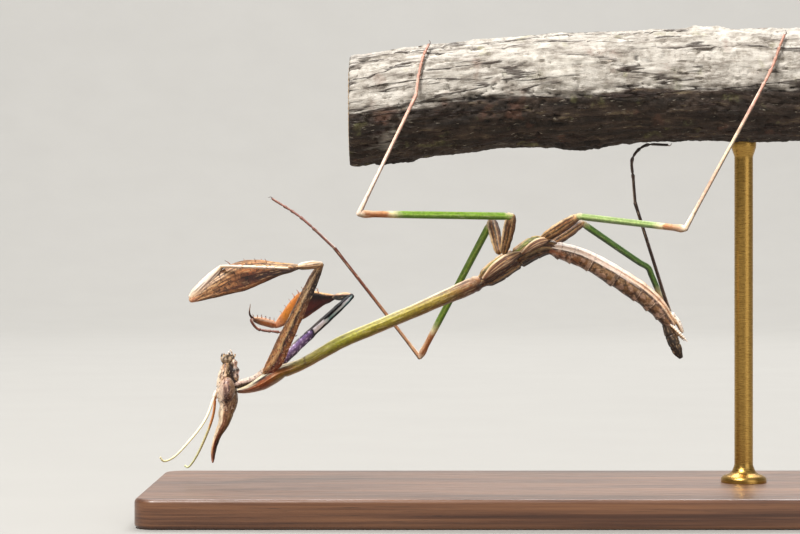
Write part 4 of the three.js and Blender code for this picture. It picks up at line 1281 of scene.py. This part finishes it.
def make_eyes():
    def lie(spots):
        """The front edge of an eye is its upper edge, and it runs from its lowest to its highest point."""
        x, y, z = spots.T
        forward = (EYE["x"] - x) / EYE["half"][0]
        return forward, np.abs(y), z, np.clip((z - EYE["z"]) / EYE["half"][2] / 2 + 0.5, 0, 1)

    for side, sign in SIDES.items():
        ball = ellipsoid((EYE["x"], sign * EYE["y"], EYE["z"]), EYE["half"], 72, 48)
        piece(f"eye_{side}", ball, eye_look, lie, f"eye_{side}")


FEELERS = {
    "right": [
        [-39.7, -0.75, 17], [-41, -3, 13.2], [-43.2, -4.5, 10.2], [-45.3, -6, 8.1], [-46.4, -6.8, 7.8],
        [-46.8, -7, 8.3],
    ],
    "left": [
        [-39.9, 0.75, 16.6], [-40.3, 2, 13.6], [-41.9, 4, 9.5], [-43.5, 5.5, 6.6], [-44.3, 6, 5.8],
        [-44.7, 6.1, 6],
    ],
}
FEELER_RADII = [(0, 0.2), (0.03, 0.24), (0.06, 0.22), (0.075, 0.17), (0.12, 0.19), (0.5, 0.18), (1, 0.13)]


def swell_feeler(t, turn):
    return 0.009 * np.cos(math.tau * t * 34) * (t > 0.08) - 0.07 * bump(t, 0.07, 0.008)


def round_profile(stations):
    return [[at, radius, radius] for at, radius in stations]


def make_feelers():
    profile = round_profile(FEELER_RADII)
    for side, look in (("right", near_feeler_look), ("left", far_feeler_look)):
        line = Line(FEELERS[side])
        body = tube(line, profile, 14, 280, swell_feeler)
        piece(f"antenna_{side}", body, look, (line, profile), f"antenna_{side}")


MOUTH_BOTTOM, MOUTH_TOP = 20.9, 22.7
JAW_LOBES = [
    (-38.35, 0.4, 21.25, (0.38, 0.38, 0.6)), (-37.75, 0.46, 21.4, (0.34, 0.32, 0.6)),
    (-38.05, 0.22, 21.85, (0.28, 0.22, 0.42)), (-37.55, 0.24, 21.95, (0.2, 0.2, 0.36)),
]
PALPS = [
    [[-38.5, 0.55, 20.9], [-38.8, 0.8, 21.3], [-38.85, 0.82, 21.8], [-38.75, 0.74, 22.3]],
    [[-37.8, 0.5, 21.2], [-37.55, 0.82, 21.6], [-37.65, 0.8, 22.1], [-37.9, 0.62, 22.7]],
    [[-37.6, 0.3, 21.4], [-37.25, 0.5, 21.8], [-37.2, 0.42, 22.1]],
]
PALP_RADII = [(0, 0.15), (0.6, 0.11), (0.9, 0.09), (1, 0.04)]


def swell_palp(t, turn):
    return 0.01 - 0.03 * (bump(t, 0.33, 0.04) + bump(t, 0.66, 0.04))


def make_mouth():
    """Upper lip, two jaws, the lobes behind them and three pairs of jointed palps."""
    lip = Line([[-38.55, 20.9], [-38.6, 21.5], [-38.4, 22.1]])
    bodies = [tube(lip, [[0, 0.6, 0.26], [0.5, 0.5, 0.22], [1, 0.25, 0.14]], 24, 20)]
    for sign in SIDES.values():
        bodies += [ellipsoid((x, sign * y, z), half, 24, 18) for x, y, z, half in JAW_LOBES]
        for knots in PALPS:
            line = Line([[x + 0.08 * sign, sign * y, z + 0.1 * sign * (x > -38.2)] for x, y, z in knots])
            bodies.append(tube(line, round_profile(PALP_RADII), 12, 40, swell_palp))

    def lie(spots):
        z = spots[:, 2]
        middle = spots.mean(0)
        across = (spots - middle) / (np.abs(spots - middle).max(0) + 1e-6)
        return across[:, 2], across[:, 1], z, np.clip((z - MOUTH_BOTTOM) / (MOUTH_TOP - MOUTH_BOTTOM), 0, 1)

    piece("mouthparts", merged(*bodies), jaw_look, lie, "mouthparts", 50)


def lie_on_thorns(spikes):
    """Lets the colours run from the foot to the tip of each thorn."""
    reach = [np.linalg.norm(spots - spots[0], axis=1) for spots, _ in spikes]
    place = np.concatenate([r / r.max() for r in reach])
    height = np.concatenate([spots[:, 2] - spots[:, 2].mean() for spots, _ in spikes]) * 4
    return lambda spots: (np.clip(height, -1, 1), spots[:, 1], spots[:, 0], place)


def make_thorns():
    for name, spikes in thorns.items():
        look = claw_look if "claws" in name else thorn_look
        piece(name, merged(*spikes), look, lie_on_thorns(spikes), angle=60)


PADS = {
    "fore": ([[-2.4, 1.5, 32.7], [-0.2, 1.95, 34.6], [2.8, 1.9, 36.4]], 0.85),
    "hind": ([[3, 1.75, 36.2], [5, 1.95, 37.6], [6.9, 1.8, 38.2]], 0.65),
}


def swell_pad(t, turn):
    veins = 0.05 * np.cos(np.sin(turn) * 11 + 1.4 * t) ** 8 * np.sin(math.pi * np.clip(t, 0, 1))
    return veins + 0.05 * (ridge(turn, 90, 12) + ridge(turn, 270, 12))


def make_pads():
    for side, sign in SIDES.items():
        for pair, (knots, high) in PADS.items():
            line = Line([[x, sign * (y - 0.12), z] for x, y, z in knots])
            profile = [
                [0, 0.14, 0.2], [0.1, 0.2, 0.45 * high], [0.3, 0.22, 0.8 * high], [0.65, 0.22, 0.95 * high],
                [0.88, 0.18, 0.6 * high], [1, 0.08, 0.12],
            ]
            body = tube(line, profile, 56, 72, swell_pad, dome=(0.6, 0.8))
            name = f"wing_pad_{pair}_{side}"
            piece(name, body, pad_look, (line, profile), name, 60)


PLATE = Line([[23.4, 26.3], [24.4, 23.8], [25.3, 21.7]])
PLATE_PROFILE = [[0, 0.8, 0.7], [0.35, 0.9, 0.8], [0.75, 0.75, 0.7], [1, 0.25, 0.25]]
FLAP = Line([[24.1, 27.7], [25, 26.5], [25.5, 25.3]])
FLAP_PROFILE = [[0, 0.6, 0.4], [0.5, 0.6, 0.42], [1, 0.35, 0.28]]
CERCUS_RADII = [(0, 0.24), (0.4, 0.26), (0.8, 0.17), (1, 0.05)]


def swell_plate(t, turn):
    rings = 0.08 * (bump(t, 0.3, 0.015) + bump(t, 0.62, 0.015))
    return 0.1 * ridge(turn, 90, 12) + 0.05 * uneven(t, turn, 5, 0.3, 12) - rings


def swell_flap(t, turn):
    return -0.1 * ridge(turn, 270, 20) * t


def swell_cercus(t, turn):
    return 0.035 * np.cos(math.tau * t * 9) - 0.02


def make_tail():
    plate = tube(PLATE, PLATE_PROFILE, 56, 80, swell_plate)
    piece("supra_anal_plate", plate, tail_look, (PLATE, PLATE_PROFILE), "supra_anal_plate")
    flap = tube(FLAP, FLAP_PROFILE, 36, 40, swell_flap)
    piece("subgenital_plate", flap, pale_look, (FLAP, FLAP_PROFILE), "subgenital_plate")
    profile = round_profile(CERCUS_RADII)
    for side, sign in SIDES.items():
        line = Line([[23.8, sign * 0.8, 26.3], [24.8, sign * 1.3, 25.3], [26, sign * 1.7, 24]])
        body = tube(line, profile, 20, 80, swell_cercus)
        piece(f"cercus_{side}", body, pale_look, (line, profile), f"cercus_{side}")


make_eyes()
make_feelers()
make_mouth()
make_thorns()
make_pads()
make_tail()

# ---------------------------------------------------------------- branch

BRANCH_SIZE = {"rings": 380, "sides": 190, "cap_rings": 26}
KNOTS = [[-14.5, -95, 1.7], [11.5, -85, 2], [-3, 100, 1.5], [29, 85, 1.6]]


def fractal(x, y, z, octaves):
    """Smooth noise of a few sizes at many points, between about -1 and 1."""
    flat = np.broadcast_arrays(x, y, z)
    values = [
        noise.fractal(Vector(p), 1.0, 2.0, octaves, noise_basis="PERLIN_ORIGINAL")
        for p in zip(*(f.ravel().tolist() for f in flat))
    ]
    return np.array(values).reshape(flat[0].shape)


def bark_relief(run, turn):
    """Height of the bark in mm: plates, lengthwise cracks, pits and the long split at mid-height."""
    front, top = np.cos(turn), np.sin(turn)

    def noisy(length, width, octaves, start=0):
        place = (front * BRANCH_RADIUS / width, top * BRANCH_RADIUS / width)
        return fractal(run / length + start, *place, octaves)

    plates = noisy(6.5, 1.5, 4)
    cracks = -0.3 * np.clip(1 - np.abs(plates) / 0.11, 0, 1) ** 1.5
    pits = -0.22 * np.clip((noisy(1.3, 1.0, 1, 90) - 0.42) / 0.25, 0, 1)
    level = -7 + 9 * fractal(run / 9 + 7, 0 * run, 0 * run, 3)
    split = -0.25 * bump(np.degrees(np.arcsin(np.clip(top, -1, 1))), level, 2.2) * (front > -0.2)
    return 0.35 * noisy(14, 9, 2) + 0.2 * plates + cracks + 0.13 * noisy(1.1, 0.5, 3, 40) + pits + split


def knot_relief(run, turn):
    """Height of the knots in mm, and how much darker they are."""
    height, shade = 0, 0
    for x, angle, size in KNOTS:
        swing = (np.degrees(turn) - (angle % 360) + 180) % 360 - 180
        lengthwise = (run - along_branch(x) * BRANCH.length) / (size * 1.9)
        away = np.hypot(lengthwise, np.radians(swing) * BRANCH_RADIUS / size)
        height = height + 0.375 * size * np.exp(-(away**2) * 1.2) - 0.55 * bump(away, 0, 0.35)
        height = height + 0.12 * np.cos(away * 9) * np.exp(-(away**2) * 0.8)
        shade = shade + (1.6 if angle < 0 else 0.3) * np.exp(-(away**2) * 0.8)
    return height, shade


def make_branch():
    rings, sides, caps = BRANCH_SIZE["rings"], BRANCH_SIZE["sides"], BRANCH_SIZE["cap_rings"]
    t = np.linspace(0, 1, rings)[:, None]
    turn = circle(sides)[None, :]
    run = t * BRANCH.length
    knots, shade = knot_relief(run, turn)
    height = bark_relief(run, turn) + knots - 0.35 * np.exp(-np.minimum(t, 1 - t) * BRANCH.length / 0.25)
    centre = BRANCH.at(t[:, 0])
    along = BRANCH.frame(t[:, 0])[0]
    out = np.stack([0 * turn[0], -np.cos(turn[0]), np.sin(turn[0])], -1)
    bark = centre[:, None] + out[None] * (BRANCH_RADIUS + height)[..., None]

    share = np.arange(caps)[:, None, None] / caps
    ends = []
    for end, way in ((0, -1), (-1, 1)):
        sideways, upwards = out[None, :, 1:2] * share, out[None, :, 2:] * share
        saw = 0.05 * np.sin(upwards * 60) + 0.12 * wobble(sideways * 8, upwards * 8, 0, 2.5, 20 + end)
        bulge = along[end] * way * (0.12 + saw) * (1 - share**8)
        disc = centre[end] + (bark[end] - centre[end]) * share + bulge
        disc[0] = disc[0].mean(0)
        ends.append(disc)
    points, faces = closed(np.vstack([ends[0], bark, ends[1][::-1]]))
    branch = make_object("branch_bark", points, [f[::-1] for f in faces], [bark_look(), sawn_look()])

    def facts_of(bark_value, start, end):
        """One value for each point, from its values on the start cap, the bark and the end cap."""
        start, end = (np.broadcast_to(value, (caps, sides)) for value in (start, end))
        return once(np.vstack([start, np.broadcast_to(bark_value, height.shape), end[::-1]]))

    inner = share[:, :, 0]
    level = facts_of(np.sin(turn), inner * np.sin(turn), inner * np.sin(turn))
    depth = facts_of(np.cos(turn), inner * np.cos(turn), inner * np.cos(turn))
    corners = corner_spots(branch.data)[0]
    # The sawn ends lie beyond the bark's own run, so that their grain differs from it and from each other.
    facts = (level, depth, facts_of(run, -5, 90), facts_of(height - shade, -1, -1))
    write_lie(branch.data, *(v[corners] for v in facts))
    ring_of = once(np.arange(rings + 2 * caps)[:, None] + np.zeros(sides, int))
    ranges = [(ring_of[list(f)].min(), ring_of[list(f)].max()) for f in faces]
    sawn = [last <= caps or first > caps + rings - 2 for first, last in ranges]
    branch.data.polygons.foreach_set("material_index", np.array(sawn, int))
    settle(branch, 55, ["perch_branch"])


def bark_look():
    look = Look("bark", BRANCH_RADIUS, 5.0)
    level = look.ragged(look.across, look.noise(look.drawn, 0.6, 5), 0.7)
    plates = look.noise(look.drawn, 1.1, 5, 0.65)
    # Upper half pale and lower half dark: partly the bark's own colours, partly painted light on top and
    # painted shade below.
    light = look.ramp(plates, [(0.25, "5a5048"), (0.4, "8c847a"), (0.52, "b6afa5"), (0.7, "d2ccc2")])
    dark = look.ramp(plates, [(0.25, "150f0b"), (0.45, "2a2018"), (0.6, "42342a"), (0.75, "76684f")])
    tone = look.mix(look.span(level, -0.2, -0.06), dark, light)
    tone = look.stain(tone, look.noise(look.grain, 0.22, 3), 0.6, 0.7, 0.3, "7b5240")
    tone = look.stain(tone, look.noise(look.grain, 0.35, 4), 0.6, 0.75, 0.35, "8c8a5a")
    flecks = look.noise(look.drawn, 4.0, 3)
    tone = look.stain(tone, flecks, 0.64, 0.72, 0.4, "d8cdb8")
    dust = look.noise(look.grain, 5.0, 4)
    tone = look.stain(tone, dust, 0.6, 0.72, 0.5, "2c2018")
    # Darker where the bark lies low, in cracks, pits and the split and on the knots: partly their own dark
    # colour, partly painted shade in the hollows. Lighter where it stands high.
    tone = look.stain(tone, look.along, -0.25, -0.6, 0.9, "140d09")
    tone = look.stain(tone, look.along, 0.15, 0.5, 0.3, "f0eadc")
    tone = look.stain(tone, look.noise(look.grain, 0.5, 5, 0.65), 0.5, 0.62, 0.4, "8a7c6c", "MULTIPLY")
    grooves = look.noise(look.scaled(BRANCH_RADIUS, 0.13), 0.5, 4, 0.5)
    gap = look.math("ABSOLUTE", look.math("SUBTRACT", grooves, 0.5))
    broken = look.span(look.noise(look.drawn, 0.5, 2), 0.44, 0.54)
    crack = look.math("MULTIPLY", look.span(gap, 0.03, 0.008), broken)
    tone = look.mix(look.math("MULTIPLY", crack, 0.85), tone, "2c1c14")
    height = look.math("SUBTRACT", look.math("ADD", dust, flecks), look.math("MULTIPLY", crack, 3.0))
    return look.finish(tone, look.span(dust, 0.3, 0.7, 0.75, 0.95), height, 0.12)


def sawn_look():
    look = Look("sawn_wood", 8.0, 1.0)
    square = look.math("ADD", look.math("POWER", look.across, 2.0), look.math("POWER", look.depth, 2.0))
    far = look.math("SQRT", square)
    grain = look.noise(look.grain, 1.2, 4)
    wave = look.math("MULTIPLY_ADD", grain, 0.05, far)
    rings = look.math("SINE", look.math("MULTIPLY", wave, 90.0))
    tone = look.ramp(look.span(rings, -1, 1), [(0, "a8835c"), (0.5, "cfae84"), (1, "dfc39a")])
    tone = look.mix(look.span(far, 0.9, 0.97), tone, "4a3626")
    tone = look.stain(tone, grain, 0.55, 0.75, 0.4, "8a6a4a")
    return look.finish(tone, 0.8, rings, 0.04)


make_branch()

# ---------------------------------------------------------------- display stand

BASE = {"length": 98, "width": 42, "height": 4, "corner": 3, "round": 0.6}
ROD = {"x": 34.5, "y": 2.5, "radius": 1.3}


def make_base():
    """A flat slab with round corners and softly rounded edges, in level outlines from bottom to top."""
    quarter = np.linspace(0, math.pi / 2, 7)
    rounding = [(BASE["round"] * (1 - math.sin(a)), BASE["round"] * (1 - math.cos(a))) for a in quarter]
    levels = rounding + [(inset, BASE["height"] - z) for inset, z in reversed(rounding)]

    def outline(inset, z):
        radius = BASE["corner"] - inset
        for k, (sx, sy) in enumerate(((1, 1), (-1, 1), (-1, -1), (1, -1))):
            cx = sx * (BASE["length"] / 2 - BASE["corner"])
            cy = sy * (BASE["width"] / 2 - BASE["corner"])
            for a in np.linspace(0, math.pi / 2, 13) + k * math.pi / 2:
                yield cx + radius * math.cos(a), cy + radius * math.sin(a), z

    sides = np.array([list(outline(*level)) for level in levels])
    inwards = np.array([(share, share, 1) for share in (0, 0.3, 0.6, 0.9, 0.97)])[:, None]
    points, faces = closed(np.vstack([sides[0] * inwards, sides, (sides[-1] * inwards)[::-1]]))

    def lie(spots):
        x, y, z = spots.T
        return y / (BASE["width"] / 2), z / BASE["height"], x, np.clip(x / BASE["length"] + 0.5, 0, 1)

    body = (points, [f[::-1] for f in faces])
    piece("stand_base_wood", body, wood_look(), lie, "stand_base", 40)


def wood_look():
    look = Look("stand_wood", 21.0, 12.0)
    wave = look.noise(look.drawn, 0.12, 3)
    rings = look.noise(look.drawn, 0.45, 6)
    pores = look.noise(look.drawn, 2.6, 3)
    mixed = look.math("MULTIPLY_ADD", wave, 0.6, look.math("MULTIPLY", rings, 0.6))
    tone = look.ramp(mixed, [(0.35, "2e1a10"), (0.5, "4a2b1a"), (0.62, "63402a"), (0.8, "7a5236")])
    tone = look.stain(tone, pores, 0.6, 0.72, 0.7, "1c0f08")
    return look.finish(tone, look.span(pores, 0.3, 0.7, 0.35, 0.5), pores, 0.02, 0.25)


def metal_look():
    look = Look("stand_brass", 1.3, 0.2)
    brushed = look.noise(look.scaled(0.4, 8), 3.0, 3)
    tone = look.ramp(brushed, [(0.3, "8f6c34"), (0.6, "b8924e"), (0.8, "d0ac66")])
    look.shader.inputs["Metallic"].default_value = 1.0
    return look.finish(tone, look.span(brushed, 0.3, 0.7, 0.22, 0.4), brushed, 0.01)


def make_rod():
    """The rod with a small flange on the base and a cup under the bark."""
    x, y, r = ROD["x"], ROD["y"], ROD["radius"]
    bottom = BASE["height"] + 0.02
    top = float(BRANCH.at(along_branch(x))[2]) - BRANCH_RADIUS + 1.0
    line = Line([[x, y, bottom], [x, y, top]])
    run = top - bottom
    flange = [(0, 3.2), (0.5, 3.2), (0.9, 2.9), (1.3, 1.9), (1.9, 1.5), (2.6, r)]
    cup = [(run - 3.2, r), (run - 2.4, 1.55), (run - 1.6, 1.75), (run, 1.75)]
    profile = round_profile([(height / run, radius) for height, radius in flange + cup])
    body = tube(line, profile, 48, 160, dome=(0.0, 0.1))
    piece("stand_rod_brass", body, metal_look(), (line, profile), "stand_rod", 40)


make_base()
make_rod()

# ---------------------------------------------------------------- floor, light and camera


def make_stage():
    """A pale floor that curves up into a wall far behind, as one lathed bowl."""
    flat, bend, wall, sides = 900, 700, 900, 128
    outline = [(flat * i / 12, 0.0) for i in range(1, 13)]
    for a in np.linspace(0, math.pi / 2, 25)[1:]:
        outline.append((flat + bend * math.sin(a), bend * (1 - math.cos(a))))
    outline += [(flat + bend, bend + wall * i / 4) for i in range(1, 5)]
    turn = circle(sides)
    grid = [np.stack([r * np.cos(turn), r * np.sin(turn), z + 0 * turn], -1) for r, z in outline]
    ring = 1 + np.arange(len(outline) * sides).reshape(-1, sides)
    look = Look("floor")
    grain = look.noise(look.node("ShaderNodeTexCoord").outputs["Object"], 30.0, 3)
    tone = look.ramp(grain, [(0.3, "94928e"), (0.7, "969490")])
    points = np.vstack([np.zeros((1, 3)), *grid])
    stage = make_object("stage_floor", points, fan(ring[0], 0) + web(ring), [look.finish(tone, 0.9)])
    smooth(stage, 60)


def soft_light(name, place, target, size, watts, tint=(1, 1, 1)):
    lamp = bpy.data.lights.new(name, "AREA")
    lamp.shape, lamp.size, lamp.energy, lamp.color = "SQUARE", size, watts, tint
    thing = linked(name, lamp)
    thing.location = place
    aim = Vector(target) - Vector(place)
    thing.rotation_euler = aim.to_track_quat("-Z", "Y").to_euler()


def make_light():
    middle = (-0.005, 0, 0.035)
    soft_light("key", (-0.35, -0.45, 0.8), middle, 0.3, 15, (1.0, 0.985, 0.96))
    soft_light("fill", (0.55, -0.75, 0.3), middle, 0.7, 2.5)
    soft_light("back", (0.25, 0.6, 0.7), middle, 0.4, 2.5)
    soft_light("wall", (0, 0.9, 1.4), (0, 1.3, 0.1), 1.0, 32)
    world = bpy.data.worlds.new("soft_sky")
    bpy.context.scene.world = world
    world.use_nodes = True
    sky = world.node_tree.nodes["Background"]
    sky.inputs[0].default_value = (1.0, 0.99, 0.97, 1)
    sky.inputs[1].default_value = 0.4


def make_camera():
    camera = bpy.data.cameras.new("camera")
    camera.lens, camera.sensor_width = 100, 36
    camera.clip_start, camera.clip_end = 0.01, 10
    thing = linked("camera", camera)
    thing.location = (-0.014, -0.3111, 0.03437)
    thing.rotation_euler = (math.pi / 2, 0, 0)
    bpy.context.scene.camera = thing


make_stage()
make_light()
make_camera()
bpy.context.scene.view_settings.view_transform = "Standard"
